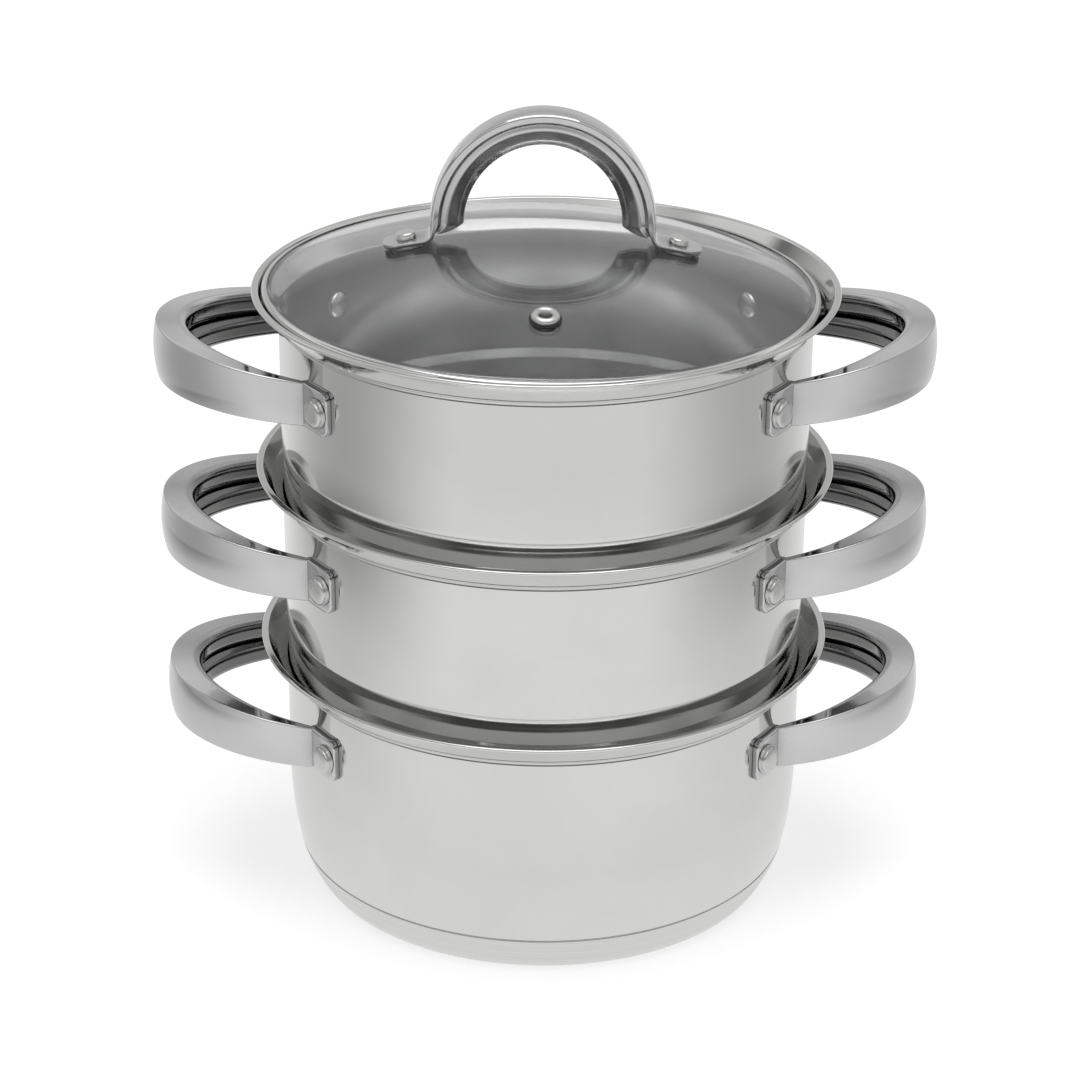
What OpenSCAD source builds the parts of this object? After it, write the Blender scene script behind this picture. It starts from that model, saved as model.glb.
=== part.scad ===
// Three-tier steamer pot: a riveted stock pot with a capsule base, two perforated steamers that
// nest into the vessel below, and a glass lid with an arched handle and a steam vent.
// Millimetres, +Z up, the middle of the base on the origin, side handles along X.

/* [Vessels] */
// Inside diameter of all three vessels
inner_d = 180; // [170:1:200]
// Thickness of the pressed steel walls
wall_t = 0.5; // [0.4:0.1:0.8]
// Height of the pot from the hob to its lip
pot_h = 92.2; // [86:0.2:130]
// Rise of each tier's lip above the lip below
tier_step = 63.1; // [60:0.1:90]
// Length of a steamer's skirt that hangs inside the vessel below
skirt_h = 12; // [10:0.5:16]
// Radius of a steamer's bottom corner
steamer_bend_r = 8; // [5:0.5:9]

/* [Rim] */
// Height of the flared rim above the neck
flare_h = 9.4; // [8:0.1:12]
// Width of the slanting part of the rim
flare_w = 7.2; // [6.8:0.1:8]
// Height of the knee where the slant becomes steeper
knee_h = 4.6; // [4.2:0.1:5]
// Width of the flatter part below the knee
knee_w = 4.2; // [3.9:0.1:4.5]
// Width of the flat lip outside the slant
lip_w = 2.2; // [2:0.1:4]
// Thickness of the rolled edge of the lip
lip_t = 1.2; // [0.9:0.1:1.5]

/* [Pot base] */
// Height at which the wall starts to curve in
belly_h = 44; // [36:1:50]
// How far the wall has curved in at the base groove
belly_in = 3.1; // [2:0.1:5]
// Height of the groove above the base cap
groove_z = 13.7; // [12:0.1:16]
// Width of that groove
groove_w = 0.5; // [0.3:0.1:0.8]
// Thickness of the steel base cap
cap_t = 0.6; // [0.5:0.1:0.8]
// Thickness of the aluminium core under the floor
core_t = 4.6; // [3:0.1:6]
// How far the flat underside's edge is in from the groove
foot_in = 6.4; // [4:0.1:8]

/* [Steam holes] */
// Diameter of one steam hole
hole_d = 4; // [2:0.5:5]
// Spacing of the rings of holes
hole_pitch = 10.4; // [8:0.2:12]
// Number of rings of holes round the centre hole
hole_rings = 5; // [2:1:5]

/* [Side handles] */
// Distance of a handle's tip from the wall
handle_out = 41.5; // [36:0.1:50]
// Half the width of a handle where it leaves the wall
handle_half_w = 46.4; // [42:0.2:48]
// Height of a handle's outer face at the foot
handle_h = 15.2; // [12:0.2:17]
// Height of a handle's outer face at the tip
handle_tip_h = 19.2; // [17:0.2:21]
// Depth of a handle's section at the tip
handle_depth = 10.7; // [9:0.1:13]
// Depth of a handle's section at the foot
handle_foot_t = 2.2; // [2.2:0.1:2.6]
// Rise of the tip above the feet
handle_rise = 5.5; // [0:0.5:8]
// Distance of a handle's foot centre below the lip
handle_drop = 26.5; // [25:0.1:28]
// Distance along the wall from the end of a handle's strap to its rivet
rivet_past = 9; // [8:0.1:10]
// Length of the foot plate past the rivet
plate_past = 6.4; // [6:0.1:8]

/* [Rivets] */
// Diameter of a side rivet's outer head
rivet_head_d = 10; // [8:0.5:11]
// Thickness of that head
rivet_head_t = 3; // [2:0.1:3.5]
// Diameter of its shank
rivet_shank_d = 4.6; // [4:0.1:5]

/* [Lid] */
// Thickness of the glass
glass_t = 2.4; // [2.2:0.1:2.8]
// Height of the dome over its brim
dome_h = 17.8; // [15:0.1:22]
// Thickness of the steel band round the glass
band_t = 0.3; // [0.2:0.1:0.4]
// How far that band reaches out past the neck
band_past = 4.4; // [4.2:0.1:4.6]
// How far to the left of the vessel's axis the lid lies
lid_shift = 1.7; // [0:0.1:1.8]
// Turn of the lid on the vessel, anticlockwise from above
lid_turn = -0.4; // [-20:0.2:20]
// Distance of the steam vent from the lid's middle
vent_out = 62.6; // [56:0.2:66]
// Angle of the vent from square to the lid handle
vent_turn = 0.4; // [-20:0.2:20]
// Diameter of the vent's flange
vent_d = 9.4; // [8:0.2:11]
// Diameter of the hole through the vent
vent_hole_d = 4; // [3:0.2:5]

/* [Lid handle] */
// Half the width of the arch
arch_half_w = 37.5; // [34:0.5:40]
// Height of the arch above its springing
arch_h = 38.5; // [34:0.5:46]
// Height of the springing above the top of the glass
spring_h = 4.6; // [4:0.1:7]
// Width of the handle's outer face
arch_w = 13; // [11:0.5:16]
// Depth of the handle's section
arch_depth = 11; // [9:0.1:13]
// Distance of a handle rivet past the arch's outer face
arch_rivet_past = 7.7; // [7.4:0.1:10]
// Diameter of a lid rivet's head
lid_rivet_d = 6.6; // [5.5:0.1:7.5]
// Thickness of that head
lid_rivet_t = 2.4; // [2:0.1:3.5]

/* [Hidden] */
$fn = 96;

// Clearances between pieces and the overrun of every cut
seat_gap = 0.3;
nest_gap = 0.6;
fit_gap = 0.05;
over = 1;

// Vessel radii and heights
neck_r = inner_d / 2;
wall_r = neck_r + wall_t;
flare_r = neck_r + flare_w;
rim_r = flare_r + lip_w;
knee_r = neck_r + knee_w;
pot_floor_z = cap_t + core_t;
pot_lip_z = pot_h;
lower_lip_z = pot_lip_z + tier_step;
upper_lip_z = lower_lip_z + tier_step;

// The slopes of the flare below and above the knee, as rise over run, and the lengths of both per run
slant = knee_h / knee_w;
slant_len = sqrt(1 + slant * slant);
perch = (flare_h - knee_h) / (flare_w - knee_w);
perch_len = sqrt(1 + perch * perch);

// The wall's curve towards the base, as an inward shift that grows with this power
belly_power = 2.3;
belly_steps = 12;
bend_steps = 10;
// The cap's flank bulges by this power of a superellipse
flank_power = 1.2;
flank_steps = 10;
groove_r = wall_r - belly_in;
foot_r = groove_r - foot_in;
// The shell is set in under the cap, so that both are flush outside
joggle = cap_t + fit_gap * 2;
cap_top_z = groove_z - groove_w;
core_top_z = cap_top_z * 2 / 3;

// A shallow pressed line marks the foot of every flare
crease_w = 1;
crease_depth = 0.25;

// A steamer's wall is drawn in a little above the lip that it sits in
neck_in = 0.4;
neck_in_top = 7.3;
neck_in_low = 3.3;

// Side handle section: sheet, seam, edges and the outward bow of its face
handle_sheet = 0.7;
handle_seam = 0.9;
handle_corner_r = 4.5;
handle_swell = 1.2;
handle_edge = 0.3;
handle_bow = 1.1;
handle_power = 3.6;
handle_steps = 28;
plate_t = 2;
plate_seat = 0.1;
plate_corner_r = 3;
plate_back = 11;
plate_r = wall_r + plate_seat;

// The loop starts within the foot plates
handle_reach = wall_r + handle_out;
handle_foot_x = sqrt(pow(plate_r + plate_t / 2, 2) - handle_half_w * handle_half_w);
rivet_angle = asin(handle_half_w / (plate_r + plate_t)) + rivet_past / wall_r * 180 / PI;

// Rivet details
rivet_crown = 0.9;
rivet_collar_t = 0.9;
rivet_inner_d = 9.4;
rivet_inner_t = 1.9;

// Lid: the band's half-round edge, and the glass brim inside it
band_half_t = glass_t / 2 + band_t;
band_r = neck_r + band_past;
band_mid_r = band_r - band_half_t;
band_lip_w = 0.5;

// The band rests on the flare; off centre it climbs on one side and sinks on the other
lid_lean = 0.6;
lid_tilt = atan(lid_lean * perch * lid_shift / band_mid_r);
band_rise = rest_rise(band_mid_r + lid_shift, band_half_t + seat_gap) - band_mid_r * sin(lid_tilt);
band_mid_z = upper_lip_z - flare_h + band_rise;
brim_r = band_mid_r - 1;
dome_r = (brim_r * brim_r + dome_h * dome_h) / (2 * dome_h);
glass_top_z = band_mid_z + glass_t / 2 + dome_h;
dome_z = glass_top_z - dome_r;
dome_steps = 24;

// Lid handle details
arch_sheet = 0.8;
arch_rivet_x = arch_half_w + arch_rivet_past;
arch_seam = 1.2;
arch_corner_r = 3.2;
arch_edge = 0.4;
arch_bow = 0.4;
arch_steps = 26;
leg_steps = 5;
arch_taper_share = 0.22;
leg_foot_t = 2.3;
strap_t = 1.3;
strap_inset = 0.15;
foot_fillet = 3;
foot_past = 8;
foot_end_r = 5;
pad_t = 1;
washer_t = 1.2;
washer_d = 11;
lid_shank_d = 3.6;
lid_rivet_inner_t = 1.6;
spring_z = glass_top_z + spring_h;
foot_tilt = asin(arch_rivet_x / dome_r);

// Vent details
vent_tilt = asin(vent_out / dome_r);
vent_tube_t = 0.6;
vent_proud = 2;
vent_seat_t = 0.8;
vent_gasket_d = vent_d + 1.2;

// Points of an arc about a centre, from one angle to another
function arc(cx, cy, r, from, to, steps) =
    [for (i = [0:steps]) let (a = from + (to - from) * i / steps) [cx + r * cos(a), cy + r * sin(a)]];

function reversed(points) = [for (i = [len(points) - 1:-1:0]) points[i]];

// Height above the neck at which a round edge of radius t, with its middle at radius r, rests on the flare
function rest_rise(r, t) = max((r - neck_r) * slant + t * slant_len,
    knee_h + (r - knee_r) * perch + t * perch_len);

// The share, from 0 to 1, of the way down from the belly to the groove
function belly_share(z) = max(0, (belly_h - z) / (belly_h - groove_z));

// The rim's outside from the neck up to the lip, for a neck at this height
function rim_outside(z) = let (flat = lip_t / 2) concat(
    [[wall_r, z - crease_w], [wall_r - crease_depth, z - crease_w / 2], [wall_r, z]],
    [[knee_r + wall_t, z + knee_h - wall_t * 0.4], [flare_r + wall_t, z + flare_h - lip_t]],
    arc(rim_r - flat, z + flare_h - flat, flat, -90, 90, 6));

// The rim's inside from the lip down to the neck
function rim_inside(z) = [[flare_r, z + flare_h], [knee_r, z + knee_h], [neck_r, z]];

// The side of a pressed sheet handle: sheet outside, then back along its inside, as [depth, height]
function handle_half(d, h, r, t, edge, bow, seam) = [
    [d, seam / 2],
    [d, h / 2 - r],
    [d - r + r * cos(45), h / 2 - r + r * sin(45)],
    [d - r, h / 2],
    [edge, h / 2],
    [0, h / 2 - edge],
    [-bow * 0.75, h / 4]];

function sheet_half(d, h, r, t, edge, bow, seam) = [
    [d - t, seam / 2],
    [d - t, h / 2 - r],
    [d - r + (r - t) * cos(45), h / 2 - r + (r - t) * sin(45)],
    [d - r, h / 2 - t],
    [t + edge, h / 2 - t],
    [t, h / 2 - t - edge],
    [t - bow * 0.75, h / 4]];

function mirrored(points) = [for (p = reversed(points)) [p[0], -p[1]]];

// A closed loop: the outside from the upper seam edge round to the lower one, then the inside back
function handle_section(d, h, r, t, edge, bow, seam) =
    let (out = handle_half(d, h, r, t, edge, bow, seam), in = sheet_half(d, h, r, t, edge, bow, seam))
    concat(out, [[-bow, 0]], mirrored(out), reversed(concat(in, [[t - bow, 0]], mirrored(in))));

// Skin over rings of points; each ring is a loop of an outside and an inside of equal count
module skin(rings) {
    k = len(rings[0]);
    last = len(rings) - 1;
    sides = [for (i = [0:last - 1], j = [0:k - 1])
        let (a = i * k + j, b = i * k + (j + 1) % k, c = (i + 1) * k + (j + 1) % k, d = (i + 1) * k + j)
        each [[a, b, c], [a, c, d]]];
    near = [for (j = [0:k / 2 - 2]) each [[j, k - 1 - j, k - 2 - j], [j, k - 2 - j, j + 1]]];
    base = last * k;
    far = [for (f = near) [base + f[2], base + f[1], base + f[0]]];
    polyhedron(points = [for (r = rings) each r], faces = concat(sides, near, far));
}

// Pot

function belly_outside() = [for (i = [0:belly_steps])
    let (z = groove_z + (belly_h - groove_z) * i / belly_steps)
    [wall_r - belly_in * pow(belly_share(z), belly_power), z]];

function belly_inside() = [for (i = [1:belly_steps])
    let (z = groove_z + (belly_h - groove_z) * i / belly_steps)
    [neck_r - (belly_in + joggle) * pow(belly_share(z), belly_power), z]];

// The floor's bend is tangent to the wall's curve where it passes the groove
belly_slope = atan(belly_in * belly_power / (belly_h - groove_z));
pot_bend_r = (groove_z - pot_floor_z) / (1 - sin(belly_slope));
pot_bend_x = groove_r - joggle - pot_bend_r * cos(belly_slope);
pot_bend_z = pot_floor_z + pot_bend_r;

module pot_profile() {
    z = pot_lip_z - flare_h;
    polygon(concat(
        [[0, pot_floor_z]],
        arc(pot_bend_x, pot_bend_z, pot_bend_r, -90, -belly_slope, bend_steps),
        belly_outside(),
        rim_outside(z),
        rim_inside(z),
        reversed(belly_inside()),
        arc(pot_bend_x, pot_bend_z, pot_bend_r - wall_t, -belly_slope, -90, bend_steps),
        [[0, pot_floor_z + wall_t]]));
}

module pot_shell() {
    color("silver") difference() {
        rotate_extrude() pot_profile();
        rivet_holes(pot_lip_z);
    }
}

// The cap's flank, grown inward by a thickness
function cap_flank(inset) = [for (i = [0:flank_steps])
    let (s = i / flank_steps, bulge = pow(1 - pow(1 - s, flank_power), 1 / flank_power))
    [foot_r + (groove_r - foot_r) * bulge - inset, max(inset, cap_top_z * s)]];

module pot_base_cap() {
    color("lightgray") rotate_extrude() difference() {
        polygon(concat([[0, 0]], cap_flank(0), [[0, cap_top_z]]));
        polygon(concat([[0, cap_t]], cap_flank(cap_t),
            [[groove_r - cap_t, cap_top_z + over], [0, cap_top_z + over]]));
    }
}

module pot_base_core() {
    inset = cap_t + fit_gap;
    color("gainsboro") rotate_extrude() difference() {
        polygon(concat([[0, cap_t], [foot_r - inset, cap_t]],
            [for (p = cap_flank(inset)) if (p[1] < core_top_z) p],
            [[cap_side(core_top_z) - inset, core_top_z], [0, core_top_z]]));
        polygon(concat([[0, pot_floor_z]],
            arc(pot_bend_x, pot_bend_z, pot_bend_r + fit_gap, -90, -belly_slope, bend_steps),
            [[pot_bend_x, groove_z], [0, groove_z]]));
        translate([0, pot_floor_z]) square([pot_bend_x, core_top_z]);
    }
}

// Radius of the cap's outside at a height
function cap_side(z) = foot_r + (groove_r - foot_r)
    * pow(1 - pow(1 - z / cap_top_z, flank_power), 1 / flank_power);

// Steamers

skirt_r = neck_r - nest_gap;
draw_r = wall_r - neck_in;

// Height of the seated shoulder above the neck below, at a radius
function seat_rise(r) = seat_gap * slant_len + (r - neck_r) * slant;

// Outside of a steamer from its floor to its own rim, where z_low is the neck of the vessel below
function steamer_side(z_low, inset) = let (
        bottom = z_low - skirt_h, r = steamer_bend_r, lip = z_low + flare_h)
    concat(
        arc(skirt_r - r, bottom + r, r - inset, -90, 0, bend_steps),
        [[skirt_r - inset, z_low + seat_rise(skirt_r)],
         [draw_r - inset, z_low + seat_rise(draw_r)],
         [draw_r - inset, lip + neck_in_low],
         [wall_r - inset, lip + neck_in_top]]);

module steamer_profile(lip_z) {
    z_low = lip_z - tier_step - flare_h;
    z = lip_z - flare_h;
    polygon(concat(
        [[0, z_low - skirt_h]],
        steamer_side(z_low, 0),
        rim_outside(z),
        rim_inside(z),
        reversed(steamer_side(z_low, wall_t)),
        [[0, z_low - skirt_h + wall_t]]));
}

module steam_holes(z) {
    for (ring = [0:hole_rings], i = [0:max(1, ring * 6) - 1])
        rotate([0, 0, ring == 0 ? 0 : i * 60 / ring])
            translate([ring * hole_pitch, 0, z - over])
                cylinder(d = hole_d, h = wall_t + over * 2, $fn = 24);
}

module steamer_shell(lip_z) {
    color("silver") difference() {
        rotate_extrude() steamer_profile(lip_z);
        steam_holes(lip_z - tier_step - flare_h - skirt_h);
        rivet_holes(lip_z);
    }
}

// Side handles and their rivets

// Carries its children to the foot of a handle; local X points out from the axis
module at_rivets(lip_z, side) {
    for (end = [-1, 1])
        rotate([0, 0, (side < 0 ? 180 : 0) + end * rivet_angle])
            translate([0, 0, lip_z - handle_drop])
                mirror([0, end < 0 ? 1 : 0, 0]) children();
}

module rivet_holes(lip_z) {
    for (side = [-1, 1]) at_rivets(lip_z, side)
        translate([neck_r - over * 2, 0, 0]) rotate([0, 90, 0])
            cylinder(d = rivet_shank_d + fit_gap * 2, h = wall_t + over * 4, $fn = 32);
}

module foot_plate() {
    h = handle_h;
    r = plate_corner_r;
    difference() {
        intersection() {
            difference() {
                cylinder(r = plate_r + plate_t, h = h * 2, center = true);
                cylinder(r = plate_r, h = h * 2 + over, center = true);
            }
            rotate([90, 0, 90]) translate([0, 0, plate_r / 2]) linear_extrude(plate_r)
                polygon(concat([[-plate_back, -h / 2]],
                    arc(plate_past - r, r - h / 2, r, -90, 0, 5),
                    arc(plate_past - r, h / 2 - r, r, 0, 90, 5),
                    [[-plate_back, h / 2]]));
        }
        translate([plate_r - over, 0, 0]) rotate([0, 90, 0])
            cylinder(d = rivet_shank_d + fit_gap * 2, h = plate_t + over * 2, $fn = 32);
    }
}

// One ring of the looped handle at angle t round its ellipse; 0 is the tip, 90 the foot
function loop_ring(t, lip_z) = let (
        a = handle_reach - handle_foot_x, b = handle_half_w,
        out = [b * cos(t), a * sin(t)] / norm([b * cos(t), a * sin(t)]),
        fade = 1 - pow(abs(t) / 90, handle_power),
        d = handle_foot_t + (handle_depth - handle_foot_t) * fade,
        h = handle_h + (handle_tip_h - handle_h) * pow(max(0, cos(t)), handle_swell),
        r = max(handle_sheet + handle_edge / 2, min(handle_corner_r, d * 0.42)),
        z = lip_z - handle_drop + handle_rise * cos(t))
    [for (p = handle_section(d, h, r, handle_sheet, handle_edge, handle_bow * fade, handle_seam))
        [handle_foot_x + a * cos(t) - out[0] * p[0], b * sin(t) - out[1] * p[0], z + p[1]]];

module side_handle(lip_z, side) {
    color("lightgray") union() {
        rotate([0, 0, side < 0 ? 180 : 0])
            skin([for (i = [0:handle_steps]) loop_ring(90 - 180 * i / handle_steps, lip_z)]);
        at_rivets(lip_z, side) foot_plate();
    }
}

// The outer head sits on the foot plate and the inner one on the wall's inside
module side_rivet() {
    outer_x = plate_r + plate_t + fit_gap;
    inner_x = sqrt(neck_r * neck_r - rivet_inner_d * rivet_inner_d / 4) - fit_gap;
    body_t = rivet_head_t - rivet_crown;
    rotate([0, 90, 0]) rotate_extrude($fn = 48) polygon(concat(
        [[0, inner_x - rivet_inner_t]],
        [[rivet_inner_d / 4, inner_x - rivet_inner_t * 0.88]],
        [[rivet_inner_d * 0.42, inner_x - rivet_inner_t * 0.52]],
        [[rivet_inner_d / 2, inner_x]],
        [[rivet_shank_d / 2, inner_x]],
        [[rivet_shank_d / 2, outer_x]],
        [[rivet_head_d / 2, outer_x]],
        [[rivet_head_d / 2, outer_x + rivet_collar_t]],
        [[rivet_head_d * 0.46, outer_x + rivet_collar_t]],
        [[rivet_head_d * 0.46, outer_x + body_t]],
        [[rivet_head_d * 0.4, outer_x + body_t + rivet_crown * 0.6]],
        [[rivet_head_d * 0.28, outer_x + rivet_head_t]],
        [[0, outer_x + rivet_head_t]]));
}

module side_rivets(lip_z, side) {
    color("white") at_rivets(lip_z, side) side_rivet();
}

// Lid

// Carries its children to where the lid lies
module on_lid() {
    translate([-lid_shift, 0, band_mid_z]) rotate([0, lid_tilt, 0]) translate([0, 0, -band_mid_z])
        rotate([0, 0, lid_turn]) children();
}

// Carries its children on to the dome: local Z leaves the glass, the tilt is from the axis
module on_dome(turn, tilt) {
    translate([0, 0, dome_z]) rotate([0, 0, turn]) rotate([0, tilt, 0]) children();
}

module lid_glass() {
    half = asin(brim_r / dome_r);
    inner_r = dome_r - glass_t;
    in_half = asin(brim_r / inner_r);
    edge = glass_t / 2 - fit_gap;
    low_z = band_mid_z - glass_t / 2;
    in_z = low_z - inner_r * cos(in_half);
    color("lightblue", 0.4) on_lid() difference() {
        rotate_extrude() polygon(concat(
            [for (p = arc(0, in_z, inner_r, 90, 90 - in_half, dome_steps)) [max(0, p[0]), p[1]]],
            [[band_mid_r, low_z + fit_gap]],
            arc(band_mid_r, band_mid_z, edge, -90, 90, 8),
            [for (p = arc(0, dome_z, dome_r, 90 - half, 90, dome_steps)) [max(0, p[0]), p[1]]]));
        for (turn = [0, 180]) on_dome(turn, foot_tilt)
            translate([0, 0, inner_r - glass_t]) cylinder(d = lid_shank_d + 1, h = glass_t * 3, $fn = 32);
        on_dome(vent_turn - 90, vent_tilt)
            translate([0, 0, inner_r - glass_t])
                cylinder(d = vent_hole_d + vent_tube_t * 2 + fit_gap * 2, h = glass_t * 3, $fn = 32);
    }
}

module lid_band() {
    t = band_t - fit_gap;
    color("silver") on_lid() rotate_extrude() polygon(concat(
        [[band_mid_r - band_lip_w, band_mid_z - band_half_t]],
        arc(band_mid_r, band_mid_z, band_half_t, -90, 90, 12),
        [[band_mid_r - band_lip_w, band_mid_z + band_half_t]],
        [[band_mid_r - band_lip_w, band_mid_z + band_half_t - t]],
        arc(band_mid_r, band_mid_z, band_half_t - t, 90, -90, 12),
        [[band_mid_r - band_lip_w, band_mid_z - band_half_t + t]]));
}

// The foot of the arch: the strap comes down at leg_x, bends out and lies along the glass
leg_x = arch_half_w - strap_inset;
strap_w = arch_w - strap_inset * 2;
foot_n = [sin(foot_tilt), cos(foot_tilt)];
foot_e = [cos(foot_tilt), -sin(foot_tilt)];
foot_origin = [0, dome_z] + dome_r * foot_n;
foot_top = pad_t + strap_t;
foot_corner = foot_origin + foot_top * foot_n
    + (leg_x - foot_origin[0] - foot_top * foot_n[0]) / foot_e[0] * foot_e;
foot_centre = foot_corner + [foot_fillet, foot_fillet * (1 - sin(foot_tilt)) / cos(foot_tilt)];
leg_end_z = foot_centre[1] - strap_t / 2;

module arch_foot() {
    reach = foot_past;
    difference() {
        intersection() {
            translate([0, arch_w, 0]) rotate([90, 0, 0]) linear_extrude(arch_w * 2) polygon(concat(
                [[leg_x, leg_end_z + strap_t]],
                arc(foot_centre[0], foot_centre[1], foot_fillet, 180, 270 - foot_tilt, 6),
                [foot_origin + foot_top * foot_n + reach * foot_e],
                [foot_origin + pad_t * foot_n + reach * foot_e],
                arc(foot_centre[0], foot_centre[1], foot_fillet + strap_t, 270 - foot_tilt, 180, 6),
                [[leg_x - strap_t, leg_end_z + strap_t]]));
            translate([0, 0, dome_z]) linear_extrude(dome_r * 2) polygon(concat(
                [[0, -strap_w / 2]],
                arc(arch_rivet_x + reach - foot_end_r, foot_end_r - strap_w / 2, foot_end_r, -90, 0, 6),
                arc(arch_rivet_x + reach - foot_end_r, strap_w / 2 - foot_end_r, foot_end_r, 0, 90, 6),
                [[0, strap_w / 2]]));
        }
        on_dome(0, foot_tilt) translate([0, 0, dome_r])
            cylinder(d = lid_shank_d + fit_gap * 2, h = foot_top + over, $fn = 32);
    }
}

// A ring of the arch: a point of its outer face, the unit direction out of it, and the depth there
function arch_ring(x, z, out, d, w) = let (
        r = max(arch_sheet + arch_edge / 2, min(arch_corner_r, d * 0.4)))
    [for (p = handle_section(d, w, r, arch_sheet, arch_edge, arch_bow, arch_seam))
        let (side = p[1] * (1 - arch_taper_share * max(0, p[0]) / arch_depth))
        [x - out[0] * p[0], side, z - out[1] * p[0]]];

function arch_leg(sign) = [for (i = [0:leg_steps - 1]) let (
        s = i / leg_steps,
        d = leg_foot_t + (arch_depth - leg_foot_t) * pow(s, 0.5))
    arch_ring(sign * arch_half_w, leg_end_z + (spring_z - leg_end_z) * s, [sign, 0], d, arch_w)];

function arch_top() = [for (i = [0:arch_steps]) let (
        t = 180 * i / arch_steps,
        n = [arch_h * cos(t), arch_half_w * sin(t)])
    arch_ring(arch_half_w * cos(t), spring_z + arch_h * sin(t), n / norm(n), arch_depth, arch_w)];

module lid_handle() {
    color("lightgray") on_lid() union() {
        skin(concat(arch_leg(1), arch_top(), reversed(arch_leg(-1))));
        for (turn = [0, 180]) rotate([0, 0, turn]) arch_foot();
    }
}

module lid_handle_pads() {
    color("whitesmoke") on_lid() for (turn = [0, 180]) on_dome(turn, foot_tilt)
        translate([0, 0, dome_r + fit_gap]) difference() {
            cylinder(d = arch_w, h = pad_t - fit_gap * 2, $fn = 48);
            translate([0, 0, -over]) cylinder(d = lid_shank_d + fit_gap * 2, h = pad_t + over * 2, $fn = 32);
        }
}

washer_z = dome_r - glass_t - washer_t * 2;

module lid_handle_washers() {
    color("whitesmoke") on_lid() for (turn = [0, 180]) on_dome(turn, foot_tilt)
        translate([0, 0, washer_z + washer_t]) difference() {
            cylinder(d = washer_d, h = washer_t - fit_gap * 2, $fn = 48);
            translate([0, 0, -over])
                cylinder(d = lid_shank_d + fit_gap * 2, h = washer_t + over * 2, $fn = 32);
        }
}

module lid_rivet() {
    top = dome_r + foot_top;
    low = washer_z + washer_t;
    rotate_extrude($fn = 48) polygon([
        [0, low - lid_rivet_inner_t],
        [lid_rivet_d * 0.3, low - lid_rivet_inner_t * 0.85],
        [lid_rivet_d / 2, low - lid_rivet_inner_t * 0.3],
        [lid_rivet_d / 2, low],
        [lid_shank_d / 2, low],
        [lid_shank_d / 2, top],
        [lid_rivet_d / 2, top],
        [lid_rivet_d / 2, top + lid_rivet_t * 0.8],
        [lid_rivet_d * 0.4, top + lid_rivet_t],
        [0, top + lid_rivet_t]]);
}

module lid_handle_rivets() {
    color("white") on_lid() for (turn = [0, 180]) on_dome(turn, foot_tilt) lid_rivet();
}

// Vent

vent_low = dome_r - glass_t - vent_seat_t;
vent_tube_r = vent_hole_d / 2 + vent_tube_t;

module steam_vent() {
    top = dome_r + vent_seat_t + vent_proud;
    seat = dome_r + vent_seat_t;
    r = vent_d / 2;
    color("silver") on_lid() on_dome(vent_turn - 90, vent_tilt)
        rotate_extrude($fn = 48) polygon([
            [vent_hole_d / 2, vent_low - vent_tube_t],
            [r * 0.8, vent_low - vent_tube_t],
            [r * 0.8, vent_low],
            [vent_tube_r, vent_low],
            [vent_tube_r, seat],
            [r * 0.94, seat],
            [r, seat + vent_proud * 0.3],
            [r * 0.94, seat + vent_proud * 0.75],
            [r * 0.74, top],
            [r * 0.58, top],
            [vent_hole_d / 2, seat + vent_proud * 0.6]]);
}

module vent_gasket() {
    color("dimgray") on_lid() on_dome(vent_turn - 90, vent_tilt)
        translate([0, 0, dome_r + fit_gap]) difference() {
            cylinder(d = vent_gasket_d, h = vent_seat_t - fit_gap, $fn = 48);
            translate([0, 0, -over])
                cylinder(r = vent_tube_r + fit_gap, h = vent_seat_t + over * 2, $fn = 32);
        }
}

pot_shell();
pot_base_core();
pot_base_cap();
side_handle(pot_lip_z, -1);  // pot_handle_left
side_handle(pot_lip_z, 1);  // pot_handle_right
side_rivets(pot_lip_z, -1);  // pot_rivets_left
side_rivets(pot_lip_z, 1);  // pot_rivets_right
steamer_shell(lower_lip_z);  // lower_steamer_shell
side_handle(lower_lip_z, -1);  // lower_steamer_handle_left
side_handle(lower_lip_z, 1);  // lower_steamer_handle_right
side_rivets(lower_lip_z, -1);  // lower_steamer_rivets_left
side_rivets(lower_lip_z, 1);  // lower_steamer_rivets_right
steamer_shell(upper_lip_z);  // upper_steamer_shell
side_handle(upper_lip_z, -1);  // upper_steamer_handle_left
side_handle(upper_lip_z, 1);  // upper_steamer_handle_right
side_rivets(upper_lip_z, -1);  // upper_steamer_rivets_left
side_rivets(upper_lip_z, 1);  // upper_steamer_rivets_right
lid_glass();
lid_band();
lid_handle();
lid_handle_rivets();
lid_handle_pads();
lid_handle_washers();
steam_vent();
vent_gasket();
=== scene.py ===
import math
import bmesh
import bpy
from mathutils import Matrix, Vector


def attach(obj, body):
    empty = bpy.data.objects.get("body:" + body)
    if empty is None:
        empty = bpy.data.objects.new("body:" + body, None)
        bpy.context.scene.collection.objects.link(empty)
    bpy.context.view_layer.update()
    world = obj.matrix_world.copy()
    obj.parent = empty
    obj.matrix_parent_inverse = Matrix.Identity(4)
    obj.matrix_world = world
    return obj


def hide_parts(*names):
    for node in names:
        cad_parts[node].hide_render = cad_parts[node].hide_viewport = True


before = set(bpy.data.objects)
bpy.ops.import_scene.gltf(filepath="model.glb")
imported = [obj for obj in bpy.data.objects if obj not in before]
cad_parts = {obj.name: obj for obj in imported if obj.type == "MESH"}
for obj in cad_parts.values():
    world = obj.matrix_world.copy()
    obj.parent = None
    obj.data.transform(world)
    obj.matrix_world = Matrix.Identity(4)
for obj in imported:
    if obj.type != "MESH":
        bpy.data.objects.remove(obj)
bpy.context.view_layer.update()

MM = 0.001

# Sizes shared with the CAD source, in millimetres

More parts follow.
